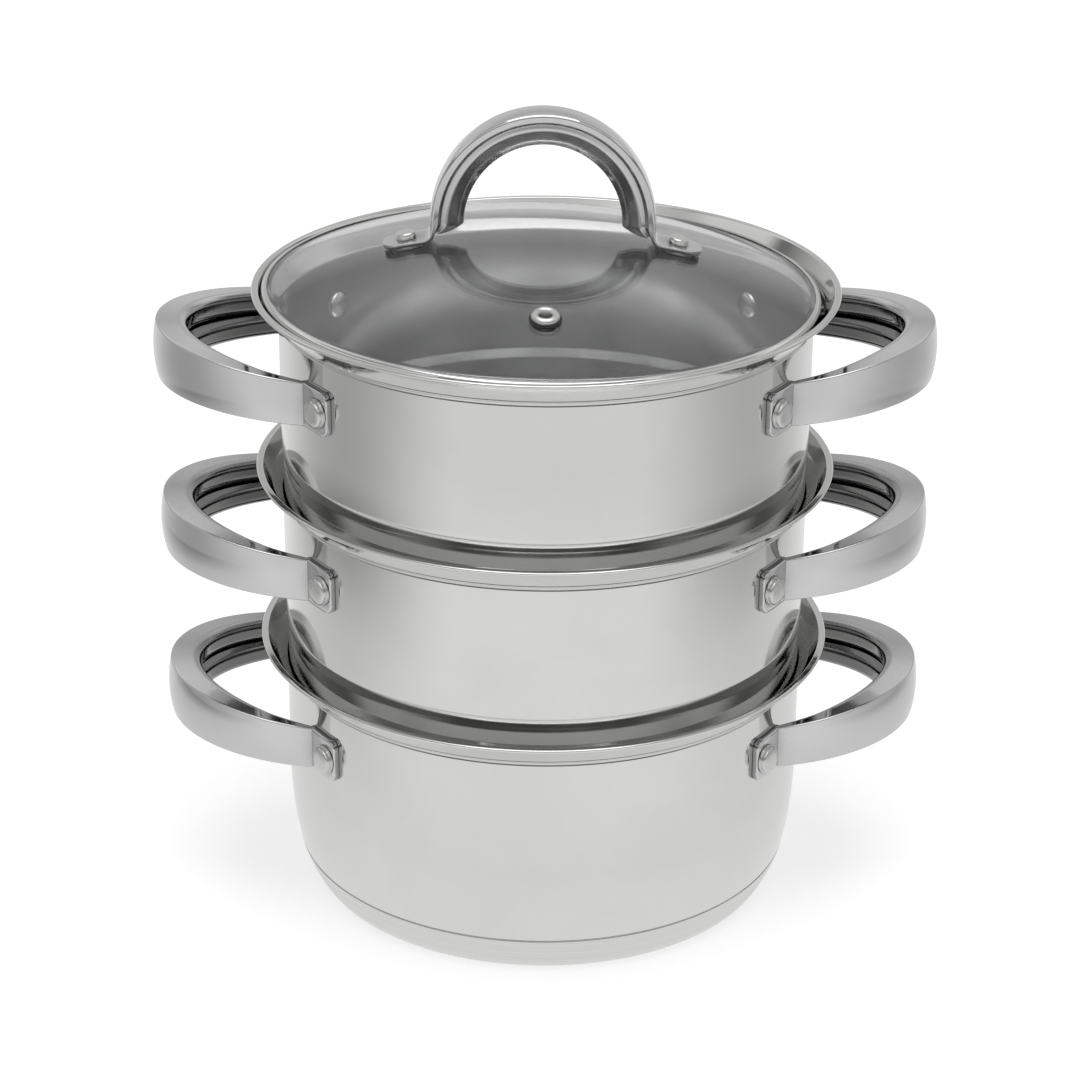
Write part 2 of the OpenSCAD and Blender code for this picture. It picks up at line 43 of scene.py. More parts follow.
# Vessels
NECK_R = 90.0
WALL_T = 0.5
WALL_R = NECK_R + WALL_T
POT_H = 92.2
TIER_STEP = 63.1
SKIRT_H = 12.0
STEAMER_BEND_R = 8.0
NECK_IN = 0.4
NECK_IN_LOW = 3.3
NECK_IN_TOP = 7.3
HOLE_R = 2.0
HOLE_PITCH = 10.4
HOLE_RINGS = 5

# Rim
FLARE_H = 9.4
FLARE_R = NECK_R + 7.2
KNEE_H = 4.6
KNEE_R = NECK_R + 4.2
LIP_W = 2.2
LIP_T = 1.2
RIM_R = FLARE_R + LIP_W

# Pot base
BELLY_H = 44.0
BELLY_IN = 3.1
BELLY_POWER = 2.3
GROOVE_Z = 13.7
GROOVE_W = 0.5
GROOVE_R = WALL_R - BELLY_IN
CAP_T = 0.6
CORE_T = 4.6
FOOT_R = GROOVE_R - 6.4
FLANK_POWER = 1.2

# Clearances between pieces
SEAT_GAP = 0.3
NEST_GAP = 0.6
FIT_GAP = 0.05

# Side handles
HANDLE_REACH = WALL_R + 41.5
HANDLE_HALF_W = 46.4
HANDLE_H = 15.2
HANDLE_TIP_H = 19.2
HANDLE_DEPTH = 10.7
HANDLE_FOOT_T = 2.2
HANDLE_RISE = 5.5
HANDLE_DROP = 26.5
HANDLE_SHEET = 0.7
HANDLE_SEAM = 0.9
HANDLE_CORNER_R = 4.6
HANDLE_EDGE_R = 0.6
HANDLE_BOW = 1.1
HANDLE_POWER = 3.6
HANDLE_SWELL = 1.2
PLATE_R = WALL_R + 0.1
PLATE_T = 2.0
PLATE_CORNER_R = 3.0
PLATE_BACK = 11.0
PLATE_FAR = 5.0
RIVET_PAST = 9.0
SHANK_R = 2.3
INNER_HEAD_R = 4.7
HANDLE_FOOT_X = math.sqrt((PLATE_R + PLATE_T / 2) ** 2 - HANDLE_HALF_W ** 2)
RIVET_ANGLE = math.degrees(math.asin(HANDLE_HALF_W / (PLATE_R + PLATE_T)) + RIVET_PAST / WALL_R)

# Lid
GLASS_T = 2.4
BAND_T = 0.3
BAND_HALF_T = GLASS_T / 2 + BAND_T
BAND_R = NECK_R + 4.4
BAND_MID_R = BAND_R - BAND_HALF_T
BAND_LIP_W = 0.5
BRIM_R = BAND_MID_R - 1
DOME_H = 17.8
LID_SHIFT = 1.7
LID_TURN = -0.4
LID_LEAN = 0.6
VENT_OUT = 62.6
VENT_TURN = 0.4
VENT_HOLE_R = 2.0
VENT_TUBE_R = 2.6

# Lid handle
ARCH_HALF_W = 37.5
ARCH_H = 38.5
ARCH_W = 13.0
ARCH_DEPTH = 11.0
ARCH_SHEET = 0.8
ARCH_BOW = 0.4
ARCH_RIVET_X = ARCH_HALF_W + 7.7
SPRING_H = 4.6
LEG_FOOT_T = 2.3
STRAP_T = 1.3
STRAP_INSET = 0.15
FOOT_FILLET = 3.0
FOOT_PAST = 8.0
FOOT_END_R = 5.0
PAD_T = 1.0
WASHER_T = 1.2
LID_HEAD_R = 3.3
LID_SHANK_R = 1.8

LIPS = {"pot": POT_H, "lower_steamer": POT_H + TIER_STEP, "upper_steamer": POT_H + TIER_STEP * 2}
# Turn of each side's handle about the vessel, in degrees
SIDES = {"left": 180, "right": 0}

# Vertices round a vessel and round one of its holes
AROUND = 256
HOLE_AROUND = 28

# Slopes of the flare below and above its knee
SLANT = KNEE_H / (KNEE_R - NECK_R)
PERCH = (FLARE_H - KNEE_H) / (FLARE_R - KNEE_R)


def slant_rise(r, t):
    """Height above the neck at which a round edge of radius t touches the slope below the knee."""
    return (r - NECK_R) * SLANT + t * math.hypot(1, SLANT)


def rest_rise(r, t):
    """Height above the neck at which such an edge rests on the whole flare."""
    return max(slant_rise(r, t), KNEE_H + (r - KNEE_R) * PERCH + t * math.hypot(1, PERCH))


LID_TILT = math.atan(LID_LEAN * PERCH * LID_SHIFT / BAND_MID_R)
BAND_RISE = rest_rise(BAND_MID_R + LID_SHIFT, BAND_HALF_T + SEAT_GAP) - BAND_MID_R * math.sin(LID_TILT)
BAND_MID_Z = LIPS["upper_steamer"] - FLARE_H + BAND_RISE
DOME_R = (BRIM_R ** 2 + DOME_H ** 2) / (2 * DOME_H)
GLASS_TOP_Z = BAND_MID_Z + GLASS_T / 2 + DOME_H
DOME_Z = GLASS_TOP_Z - DOME_R
SPRING_Z = GLASS_TOP_Z + SPRING_H
FOOT_TILT = math.asin(ARCH_RIVET_X / DOME_R)
VENT_TILT = math.asin(VENT_OUT / DOME_R)


# Paths

def arc(cx, cy, r, a0, a1, n):
    """Points of an arc from angle a0 to a1, in degrees."""
    out = []
    for i in range(n + 1):
        a = math.radians(a0 + (a1 - a0) * i / n)
        out.append((cx + r * math.cos(a), cy + r * math.sin(a)))
    return out


def raised(points, z):
    """A path of (radius, height) moved up by z."""
    return [(r, z + rise) for r, rise in points]


def between(a, b, share):
    """The point at a share of the way from a to b."""
    return (a[0] + (b[0] - a[0]) * share, a[1] + (b[1] - a[1]) * share)


def corner_arc(a, b, c, n):
    """The start of the arc that rounds the corner b between a and c, and all its points.

    b is (x, y, radius), and the radius gives way where the sides are too short for it.
    """
    corner = Vector((b[0], b[1]))
    u = Vector((a[0] - b[0], a[1] - b[1]))
    v = Vector((c[0] - b[0], c[1] - b[1]))
    room = min(u.length * 0.49, v.length * 0.49)
    u.normalize()
    v.normalize()
    half = math.acos(max(-1, min(1, u.dot(v)))) / 2
    back = min(b[2] / math.tan(half), room)
    r = back * math.tan(half)
    centre = corner + (u + v).normalized() * (r / math.sin(half))
    start = corner + u * back - centre
    end = corner + v * back - centre
    a0 = math.atan2(start.y, start.x)
    a1 = math.atan2(end.y, end.x)
    turn = (a1 - a0 + math.pi) % (2 * math.pi) - math.pi
    out = []
    for i in range(n + 1):
        angle = a0 + turn * i / n
        out.append((centre.x + r * math.cos(angle), centre.y + r * math.sin(angle)))
    return centre + start, out


def rounded(points, n=6):
    """An open path of (x, y) or (x, y, radius), with its corners turned into arcs.

    A point close to each end of an arc keeps the flats beside it flat when the mesh is shaded smooth.
    """
    near = 0.08
    pts = [(p[0], p[1], p[2] if len(p) > 2 else 0) for p in points]
    out = [(pts[0][0], pts[0][1])]
    after_arc = False
    for a, b, c in zip(pts, pts[1:], pts[2:]):
        if b[2] > 0:
            first, bend = corner_arc(a, b, c, n)
            if after_arc:
                out.append(between(out[-1], first, near))
            out.append(between(first, out[-1], near))
            out += bend
            after_arc = True
        else:
            if after_arc:
                out.append(between(out[-1], b, near))
            out.append((b[0], b[1]))
            after_arc = False
    if after_arc:
        out.append(between(out[-1], pts[-1], near))
    out.append((pts[-1][0], pts[-1][1]))
    return out


def turned(angle):
    """A turn about the Z axis, in degrees."""
    return Matrix.Rotation(math.radians(angle), 4, "Z")


# Meshes

def make(name, bm, body, nodes, material, matrix=None, sharp=35):
    """Turns a bmesh in millimetres into a piece of the object that rides on a body."""
    if matrix is not None:
        bmesh.ops.transform(bm, matrix=matrix, verts=bm.verts)
    bmesh.ops.remove_doubles(bm, verts=bm.verts, dist=0.0005)
    bmesh.ops.recalc_face_normals(bm, faces=bm.faces)
    bmesh.ops.scale(bm, vec=(MM, MM, MM), verts=bm.verts)
    limit = math.radians(sharp)
    for e in bm.edges:
        e.smooth = e.calc_face_angle(0) < limit
    for f in bm.faces:
        f.smooth = True
    mesh = bpy.data.meshes.new(name)
    bm.to_mesh(mesh)
    bm.free()
    piece = bpy.data.objects.new(name, mesh)
    bpy.context.scene.collection.objects.link(piece)
    piece.data.materials.append(material)
    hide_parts(*nodes)
    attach(piece, body)
    return piece


def circle(bm, r, z, n, cx=0, cy=0):
    """Vertices of a level circle."""
    angles = [2 * math.pi * i / n for i in range(n)]
    return [bm.verts.new((cx + r * math.cos(a), cy + r * math.sin(a), z)) for a in angles]


def skin(bm, a, b):
    """Faces between two closed rings of as many vertices."""
    n = len(a)
    for i in range(n):
        j = (i + 1) % n
        bm.faces.new((a[i], a[j], b[j], b[i]))


def lathe(bm, profile, n=AROUND, closed=False, matrix=None):
    """Turns a path of (radius, height) round the Z axis; points on the axis become one vertex."""
    rings = []
    for r, z in profile:
        rings.append([bm.verts.new((0, 0, z))] if r < 1e-6 else circle(bm, r, z, n))
    pairs = list(zip(rings, rings[1:]))
    if closed:
        pairs.append((rings[-1], rings[0]))
    for a, b in pairs:
        if len(a) == 1 and len(b) == 1:
            continue
        for i in range(n):
            j = (i + 1) % n
            if len(a) == 1:
                bm.faces.new((a[0], b[i], b[j]))
            elif len(b) == 1:
                bm.faces.new((a[i], b[0], a[j]))
            else:
                bm.faces.new((a[i], b[i], b[j], a[j]))
    if matrix is not None:
        bmesh.ops.transform(bm, matrix=matrix, verts=[v for ring in rings for v in ring])


def sweep(bm, rings):
    """Skins closed rings of points and closes both ends."""
    rows = [[bm.verts.new(p) for p in ring] for ring in rings]
    for a, b in zip(rows, rows[1:]):
        skin(bm, a, b)
    k = len(rows[0])
    for row in (rows[0], rows[-1]):
        for j in range(k // 2 - 1):
            bm.faces.new((row[j], row[k - 1 - j], row[k - 2 - j], row[j + 1]))


def slab(bm, top, low):
    """A plate between two grids of points of the same size."""
    rows = len(top)
    cols = len(top[0])
    t = [[bm.verts.new(p) for p in row] for row in top]
    b = [[bm.verts.new(p) for p in row] for row in low]
    for i in range(rows - 1):
        for j in range(cols - 1):
            bm.faces.new((t[i][j], t[i][j + 1], t[i + 1][j + 1], t[i + 1][j]))
            bm.faces.new((b[i][j], b[i + 1][j], b[i + 1][j + 1], b[i][j + 1]))
    edge = [(i, 0) for i in range(rows)] + [(rows - 1, j) for j in range(1, cols)]
    edge += [(i, cols - 1) for i in range(rows - 2, -1, -1)] + [(0, j) for j in range(cols - 2, 0, -1)]
    for (i, j), (m, n) in zip(edge, edge[1:] + edge[:1]):
        bm.faces.new((t[i][j], t[m][n], b[m][n], b[i][j]))


def soften(bm, width, segments):
    """Rounds the sharp edges of what the mesh holds so far."""
    bmesh.ops.recalc_face_normals(bm, faces=bm.faces)
    edges = [e for e in bm.edges if e.is_manifold and e.calc_face_angle(0) > math.radians(40)]
    bmesh.ops.bevel(bm, geom=edges, offset=width, segments=segments, profile=0.5, affect="EDGES",
                    clamp_overlap=True)


# Materials

def node(tree, kind, **values):
    """A new node; a value named in_ and a socket's name sets that socket."""
    n = tree.nodes.new(kind)
    for key, value in values.items():
        if key.startswith("in_"):
            n.inputs[key[3:].replace("_", " ")].default_value = value
        else:
            setattr(n, key, value)
    return n


def shader(name, metallic, rough, colour):
    """A new material with its node tree and its shader node."""
    m = bpy.data.materials.new(name)
    m.use_nodes = True
    tree = m.node_tree
    p = tree.nodes["Principled BSDF"]
    p.inputs["Metallic"].default_value = metallic
    p.inputs["Roughness"].default_value = rough
    p.inputs["Base Color"].default_value = (*colour, 1)
    return m, tree, p


def place(tree):
    """The place on the piece, in metres."""
    return node(tree, "ShaderNodeTexCoord").outputs["Object"]


def noise(tree, where, **values):
    """A noise over a place."""
    n = node(tree, "ShaderNodeTexNoise", **values)
    tree.links.new(where, n.inputs["Vector"])
    return n.outputs["Fac"]


def span(tree, value, lo, hi, low=0.3, high=0.7):
    """A value that runs from lo to hi while the given one runs from low to high."""
    n = node(tree, "ShaderNodeMapRange")
    n.inputs["From Min"].default_value = low
    n.inputs["From Max"].default_value = high
    n.inputs["To Min"].default_value = lo
    n.inputs["To Max"].default_value = hi
    tree.links.new(value, n.inputs["Value"])
    return n.outputs["Result"]


def mottled(tree, share, colour, less, more):
    """A colour that is multiplied by less where the share is 0 and by more where it is 1."""
    n = node(tree, "ShaderNodeMix", data_type="RGBA")
    n.inputs["A"].default_value = (*[c * less for c in colour], 1)
    n.inputs["B"].default_value = (*[min(1, c * more) for c in colour], 1)
    tree.links.new(share, n.inputs["Factor"])
    return n.outputs["Result"]


def with_painted_shade(tree, colour, reach, darkest_at, clear_at, keep):
    """A colour with painted shade: it darkens where the surface is closed in, within a reach in metres.

    It keeps the share keep of itself at the lower openness it is given, and all of itself at clear_at.
    """
    near = node(tree, "ShaderNodeAmbientOcclusion", samples=6)
    near.inputs["Distance"].default_value = reach
    n = node(tree, "ShaderNodeMix", data_type="RGBA", blend_type="MULTIPLY")
    n.inputs["Factor"].default_value = 1.0
    tree.links.new(colour, n.inputs["A"])
    tree.links.new(span(tree, near.outputs["AO"], keep, 1.0, darkest_at, clear_at), n.inputs["B"])
    return n.outputs["Result"]


def bumped(tree, height, distance, strength=1.0):
    """The normal of a surface raised by a height of up to a distance in metres."""
    n = node(tree, "ShaderNodeBump", in_Strength=strength, in_Distance=distance)
    tree.links.new(height, n.inputs["Height"])
    return n.outputs["Normal"]


def steel(name, colour, gloss, waves, tone=0.03, painted_hollow_shade=None):
    """Pressed sheet steel with smears in its gloss and slight waves, and painted shade in its hollows if
    asked for.

    gloss is its least and greatest roughness, waves are their scale and height, and the last argument
    holds the reach and measures of that painted shade.
    """
    m, tree, p = shader(name, 1.0, gloss[0], colour)
    where = place(tree)
    smear = noise(tree, where, in_Scale=28.0, in_Detail=5.0, in_Roughness=0.62, in_Distortion=0.6)
    tree.links.new(span(tree, smear, *gloss), p.inputs["Roughness"])
    shade = mottled(tree, span(tree, smear, 0, 1), colour, 1 - tone, 1 + tone)
    # Painted shade: the colour darkens where the surface is closed in
    if painted_hollow_shade:
        shade = with_painted_shade(tree, shade, *painted_hollow_shade)
    tree.links.new(shade, p.inputs["Base Color"])
    scale, height = waves
    ripple = noise(tree, where, in_Scale=scale, in_Detail=1.5, in_Roughness=0.4)
    tree.links.new(bumped(tree, ripple, height), p.inputs["Normal"])
    return m


def brushed(name, colour):
    """Steel with fine rings round the axis, as a lathe leaves them."""
    m, tree, p = shader(name, 1.0, 0.25, colour)
    parts = node(tree, "ShaderNodeSeparateXYZ")
    tree.links.new(place(tree), parts.inputs[0])
    flat = node(tree, "ShaderNodeCombineXYZ")
    tree.links.new(parts.outputs["X"], flat.inputs["X"])
    tree.links.new(parts.outputs["Y"], flat.inputs["Y"])
    out = node(tree, "ShaderNodeVectorMath", operation="LENGTH")
    tree.links.new(flat.outputs[0], out.inputs[0])
    rings = node(tree, "ShaderNodeCombineXYZ")
    tree.links.new(out.outputs["Value"], rings.inputs["X"])
    tree.links.new(parts.outputs["Z"], rings.inputs["Y"])
    fine = noise(tree, rings.outputs[0], in_Scale=2600.0, in_Detail=3.0, in_Roughness=0.7)
    broad = noise(tree, rings.outputs[0], in_Scale=420.0, in_Detail=2.0)
    tree.links.new(span(tree, broad, 0.20, 0.34), p.inputs["Roughness"])
    tree.links.new(mottled(tree, span(tree, fine, 0, 1), colour, 0.9, 1.08), p.inputs["Base Color"])
    tree.links.new(bumped(tree, fine, 0.000012), p.inputs["Normal"])
    return m


def alloy():
    """Dull cast aluminium."""
    m, tree, p = shader("core_aluminium", 1.0, 0.4, (0.70, 0.70, 0.71))
    cast = noise(tree, place(tree), in_Scale=220.0, in_Detail=6.0)
    tree.links.new(span(tree, cast, 0.35, 0.6), p.inputs["Roughness"])
    tree.links.new(bumped(tree, cast, 0.0002, 0.6), p.inputs["Normal"])
    return m


def glass():
    """Tempered glass with a thin film on it and the faint waves of its tempering."""
    m, tree, p = shader("clear_glass", 0.0, 0.0, (0.945, 0.95, 0.95))
    p.inputs["Transmission Weight"].default_value = 1.0
    p.inputs["IOR"].default_value = 1.62
    where = place(tree)
    film = noise(tree, where, in_Scale=40.0, in_Detail=4.0, in_Roughness=0.6)
    tree.links.new(span(tree, film, 0.0, 0.004), p.inputs["Roughness"])
    temper = noise(tree, where, in_Scale=14.0, in_Detail=0.0)
    tree.links.new(bumped(tree, temper, 0.00003), p.inputs["Normal"])
    return m


def silicone(name, colour, clear, rough):
    """Silicone rubber; clear is the share of light that it lets through."""
    m, tree, p = shader(name, 0.0, rough, colour)
    p.inputs["Transmission Weight"].default_value = clear
    p.inputs["IOR"].default_value = 1.41
    haze = noise(tree, place(tree), in_Scale=900.0, in_Detail=3.0)
    tree.links.new(span(tree, haze, rough * 0.8, rough * 1.2), p.inputs["Roughness"])
    tree.links.new(bumped(tree, haze, 0.00005, 0.3), p.inputs["Normal"])
    return m


SHEET_COLOUR = (0.80, 0.80, 0.79)
SHEET_GLOSS = (0.05, 0.11)
SHEET_WAVES = (9.0, 0.00022)
STEEL = steel("polished_steel", SHEET_COLOUR, SHEET_GLOSS, SHEET_WAVES)
# The flare's two steels are the sheet steel with painted shade where it is closed in; below the knee it
# is darker.
UPPER_FLARE_PAINTED_SHADE = steel("upper_flare_steel_painted_shade", SHEET_COLOUR, SHEET_GLOSS, SHEET_WAVES,
                    painted_hollow_shade=(0.02, 0.3, 0.9, 0.50))
LOWER_FLARE_PAINTED_SHADE = steel("lower_flare_steel_painted_shade", SHEET_COLOUR, SHEET_GLOSS, SHEET_WAVES,
                    painted_hollow_shade=(0.02, 0.1, 0.6, 0.35))
INSIDE_STEEL = steel("satin_inside", (0.65, 0.65, 0.65), (0.10, 0.18), SHEET_WAVES)
# The handles' steel has painted shade where it is closed in.
HANDLE_STEEL_PAINTED_SHADE = steel("handle_steel", (0.73, 0.73, 0.73), (0.05, 0.12), (30.0, 0.00006),
                     painted_hollow_shade=(0.07, 0.35, 0.8, 0.30))
RIVET_STEEL = steel("rivet_steel", (0.74, 0.74, 0.73), (0.22, 0.34), (160.0, 0.00010), tone=0.06)
BASE_STEEL = brushed("brushed_base", SHEET_COLOUR)
CORE = alloy()
GLASS = glass()
CLEAR_SILICONE = silicone("clear_silicone", (0.82, 0.83, 0.82), 0.6, 0.35)
DARK_SILICONE = silicone("dark_silicone", (0.035, 0.035, 0.035), 0.0, 0.45)


# Vessels

# A level floor has a ring at this radius, and a wall one at this height, so that no face is too long
FLOOR_RING_R = 40
WALL_RING_Z = 60

# The pot's floor meets the wall's curve with a bend that is tangent to it at the groove
SLOPE = math.degrees(math.atan(BELLY_IN * BELLY_POWER / (BELLY_H - GROOVE_Z)))
POT_FLOOR_Z = CAP_T + CORE_T
JOGGLE = CAP_T + FIT_GAP * 2
POT_BEND_R = (GROOVE_Z - POT_FLOOR_Z) / (1 - math.sin(math.radians(SLOPE)))
POT_BEND_X = GROOVE_R - JOGGLE - POT_BEND_R * math.cos(math.radians(SLOPE))
CAP_TOP_Z = GROOVE_Z - GROOVE_W


def dress(piece, lip, low):
    """Gives a vessel's inside a satin finish, and its flare a steel above the knee and one below it.

    Both of the flare's steels carry painted shade where they are closed in, each in its own measure.
    """
    for material in (INSIDE_STEEL, UPPER_FLARE_PAINTED_SHADE, LOWER_FLARE_PAINTED_SHADE):
        piece.data.materials.append(material)
    satin, above_knee, below_knee = 1, 2, 3
    neck = (lip - FLARE_H) * MM
    under_lip = lip * MM - 0.0002
    for face in piece.data.polygons:
        x, y, z = face.center
        away = math.hypot(x, y)
        r = away / MM
        inward = -(face.normal.x * x + face.normal.y * y) / max(1e-6, away)
        if neck < z < under_lip and NECK_R - 0.1 < r < FLARE_R - 0.2 and inward > 0.3:
            face.material_index = above_knee if z > neck + KNEE_H * MM else below_knee
        elif low * MM < z <= neck and r < NECK_R + 0.05 and (inward > 0.2 or face.normal.z > 0.5):
            face.material_index = satin


def rim_outside(z):
    """The crease, the flare and the rolled lip, from the wall up and round to the top of the lip."""
    half = LIP_T / 2
    under_lip = z + FLARE_H - LIP_T
    crease = [(WALL_R, z - 0.95, 0.1), (WALL_R - 0.2, z - 0.5, 0.1), (WALL_R, z - 0.15, 0.1)]
    step = [(WALL_R, z, 0.2), (WALL_R + 0.91, z + 1.0, 0.1), (WALL_R + 0.74, z + 1.4, 0.1),
            (WALL_R + 1.30, z + 1.5, 0.1)]
    flare = [(FLARE_R + WALL_T, under_lip, 0.9), (RIM_R - half, under_lip)]
    path = rounded([(WALL_R, z - 2)] + crease + step + flare)
    return path + arc(RIM_R - half, z + FLARE_H - half, half, -80, 90, 10)


def rim_inside(z):
    """Back from the lip down the inside of the flare to the neck."""
    return rounded([(RIM_R - LIP_T, z + FLARE_H), (FLARE_R, z + FLARE_H, 0.5), (KNEE_R, z + KNEE_H, 1.2),
                    (NECK_R, z, 1.6), (NECK_R, z - 3)], 8)


def belly(z):
    """The share of the wall's inward curve at a height."""
    return ((BELLY_H - z) / (BELLY_H - GROOVE_Z)) ** BELLY_POWER


def level(rings, z):
    """Points at these radii, all at one height."""
    return [(r, z) for r in rings]


def pot_shell():
    """The pot: floor, bend, curved lower wall and flared rim, as one sheet."""
    z = POT_H - FLARE_H
    bend_z = POT_FLOOR_Z + POT_BEND_R
    floor_rings = [0, FLOOR_RING_R, POT_BEND_X - 2]
    steps = [GROOVE_Z + (BELLY_H - GROOVE_Z) * i / 40 for i in range(41)]
    path = level(floor_rings, POT_FLOOR_Z) + arc(POT_BEND_X, bend_z, POT_BEND_R, -90, -SLOPE, 20)
    path += [(WALL_R - BELLY_IN * belly(s), s) for s in steps] + [(WALL_R, WALL_RING_Z)]
    path += rim_outside(z) + rim_inside(z) + [(NECK_R, WALL_RING_Z)]
    path += [(NECK_R - (BELLY_IN + JOGGLE) * belly(s), s) for s in reversed(steps[1:])]
    path += arc(POT_BEND_X, bend_z, POT_BEND_R - WALL_T, -SLOPE, -90, 20)
    path += level(reversed(floor_rings), POT_FLOOR_Z + WALL_T)
    bm = bmesh.new()
    lathe(bm, path)
    piece = make("pot_body", bm, "pot", ["pot_shell"], STEEL)
    dress(piece, POT_H, POT_FLOOR_Z)


def flank(z):
    """Radius of the cap's bulging side at a height."""
    bulge = (1 - (1 - z / CAP_TOP_Z) ** FLANK_POWER) ** (1 / FLANK_POWER)
    return FOOT_R + (GROOVE_R - FOOT_R) * bulge


def base_cap():
    """The brushed cap: a flat underside and a bulging side up to the groove."""
    zs = [CAP_TOP_Z * (i / 30) ** 1.3 for i in range(1, 31)]
    outside = level([0, FLOOR_RING_R, FOOT_R - 1.6], 0) + [(FOOT_R - 0.5, 0.05), (FOOT_R + 0.3, 0.35)]
    outside += [(flank(z), z) for z in zs if z > 0.5]
    outside[-1] = (flank(CAP_TOP_Z) - 0.12, CAP_TOP_Z)
    outside.insert(-1, (flank(CAP_TOP_Z - 0.18), CAP_TOP_Z - 0.18))
    inside = [(flank(z) - CAP_T, z) for z in reversed(zs) if z > CAP_T]
    inside += level([FOOT_R - CAP_T, FLOOR_RING_R, 0], CAP_T)
    bm = bmesh.new()
    lathe(bm, outside + inside)
    make("base_cap", bm, "pot", ["pot_base_cap"], BASE_STEEL, sharp=25)


def hole_places():
    """Centres of the holes: one in the middle, then rings of six, twelve and so on."""
    out = [(0, 0)]
    for ring in range(1, HOLE_RINGS + 1):
        for i in range(ring * 6):
            a = math.radians(i * 60 / ring)
            out.append((ring * HOLE_PITCH * math.cos(a), ring * HOLE_PITCH * math.sin(a)))
    return out


def punched_floor(bm, r_out, z, up):
    """One face of a perforated floor; each hole has a small rounded edge inside a flat ring."""
    edges = []

    def outline(ring):
        for i, vertex in enumerate(ring):
            edges.append(bm.edges.new((vertex, ring[(i + 1) % len(ring)])))
        return ring

    outline(circle(bm, r_out, z, AROUND))
    for cx, cy in hole_places():
        last = outline(circle(bm, HOLE_R + 0.40, z, HOLE_AROUND, cx, cy))
        for r, depth in ((HOLE_R + 0.22, 0), (HOLE_R + 0.08, 0.05), (HOLE_R, 0.16), (HOLE_R, WALL_T / 2)):
            row = circle(bm, r, z - up * depth, HOLE_AROUND, cx, cy)
            skin(bm, last, row)
            last = row
    bmesh.ops.triangle_fill(bm, use_beauty=True, use_dissolve=False, edges=edges, normal=(0, 0, 1))


def steamer_side(low, bottom, inset):
    """A steamer's bend, its skirt in the vessel below, and its wall drawn in above that one's lip."""
    skirt = NECK_R - NEST_GAP
    draw = WALL_R - NECK_IN
    neck = low + FLARE_H
    bend = arc(skirt - STEAMER_BEND_R, bottom + STEAMER_BEND_R, STEAMER_BEND_R - inset, -90, 0, 16)
    rest = [bend[-1], (skirt - inset, low + slant_rise(skirt, SEAT_GAP), 0.5),
            (draw - inset, low + slant_rise(draw, SEAT_GAP), 0.4), (draw - inset, neck + NECK_IN_LOW, 6),
            (WALL_R - inset, neck + NECK_IN_TOP, 6), (WALL_R - inset, neck + 12)]
    return bend[:-1] + rounded(rest, 5)


def steamer_shell(body, lip):
    """A steamer: perforated floor, skirt, wall and flared rim, as one sheet."""
    low = lip - TIER_STEP - FLARE_H
    z = lip - FLARE_H
    bottom = low - SKIRT_H
    floor_rings = [79.0, 80.5]
    path = level(floor_rings, bottom) + steamer_side(low, bottom, 0) + rim_outside(z) + rim_inside(z)
    path += steamer_side(low, bottom, WALL_T)[::-1] + level(reversed(floor_rings), bottom + WALL_T)
    bm = bmesh.new()
    lathe(bm, path)
    punched_floor(bm, floor_rings[0], bottom, -1)
    punched_floor(bm, floor_rings[0], bottom + WALL_T, 1)
    piece = make(body + "_body", bm, body, [body + "_shell"], STEEL)
    dress(piece, lip, bottom)


# Side handles

def c_section(d, h, corner, edge, bow, curl):
    """A pressed C-section as (depth, height): outside from the upper seam edge, then back inside.

    Both edges of the sheet curl in at the seam, so that the inside has two round lobes.
    """
    t = HANDLE_SHEET
    seam = HANDLE_SEAM / 2
    lobe = seam + curl * 1.1
    out = [(d - curl, seam), (d, lobe, curl * 1.6), (d, h / 2, corner), (0, h / 2, edge)]
    for i in range(-4, 5):
        q = -h / 2 * i / 5
        out.append((-bow * (1 - (2 * q / h) ** 2), q))
    out += [(0, -h / 2, edge), (d, -h / 2, corner), (d, -lobe, curl * 1.6), (d - curl, -seam)]
    turn = max(0.1, corner - t)
    back = [(d - curl - t, -seam), (d - t, -lobe - t * 0.4, curl), (d - t, t - h / 2, turn),
            (t, t - h / 2, edge * 0.5)]
    for i in range(-4, 5):
        q = (h / 2 - t) * i / 5
        back.append((t - bow * (1 - (2 * q / h) ** 2), q))
    back += [(t, h / 2 - t, edge * 0.5), (d - t, h / 2 - t, turn), (d - t, lobe + t * 0.4, curl),
             (d - curl - t, seam)]
    return rounded(out, 7) + rounded(back, 7)


def loop_ring(t, lip):
    """The section of a side handle at the angle t from its tip; in plan the handle is half an ellipse."""
    reach = HANDLE_REACH - HANDLE_FOOT_X
    out_x, out_y = HANDLE_HALF_W * math.cos(t), reach * math.sin(t)
    length = math.hypot(out_x, out_y)
    out_x, out_y = out_x / length, out_y / length
    fade = 1 - (abs(t) / (math.pi / 2)) ** HANDLE_POWER
    d = HANDLE_FOOT_T + (HANDLE_DEPTH - HANDLE_FOOT_T) * fade
    h = HANDLE_H + (HANDLE_TIP_H - HANDLE_H) * max(0, math.cos(t)) ** HANDLE_SWELL
    section = c_section(d, h, corner=min(HANDLE_CORNER_R, d * 0.43), edge=min(HANDLE_EDGE_R, d * 0.25),
                        bow=HANDLE_BOW * fade, curl=max(0.2, d * 0.24 - 0.3))
    x = HANDLE_FOOT_X + reach * math.cos(t)
    y = HANDLE_HALF_W * math.sin(t)
    z = lip - HANDLE_DROP + HANDLE_RISE * math.cos(t)
    return [(x - out_x * p, y - out_y * p, z + q) for p, q in section]


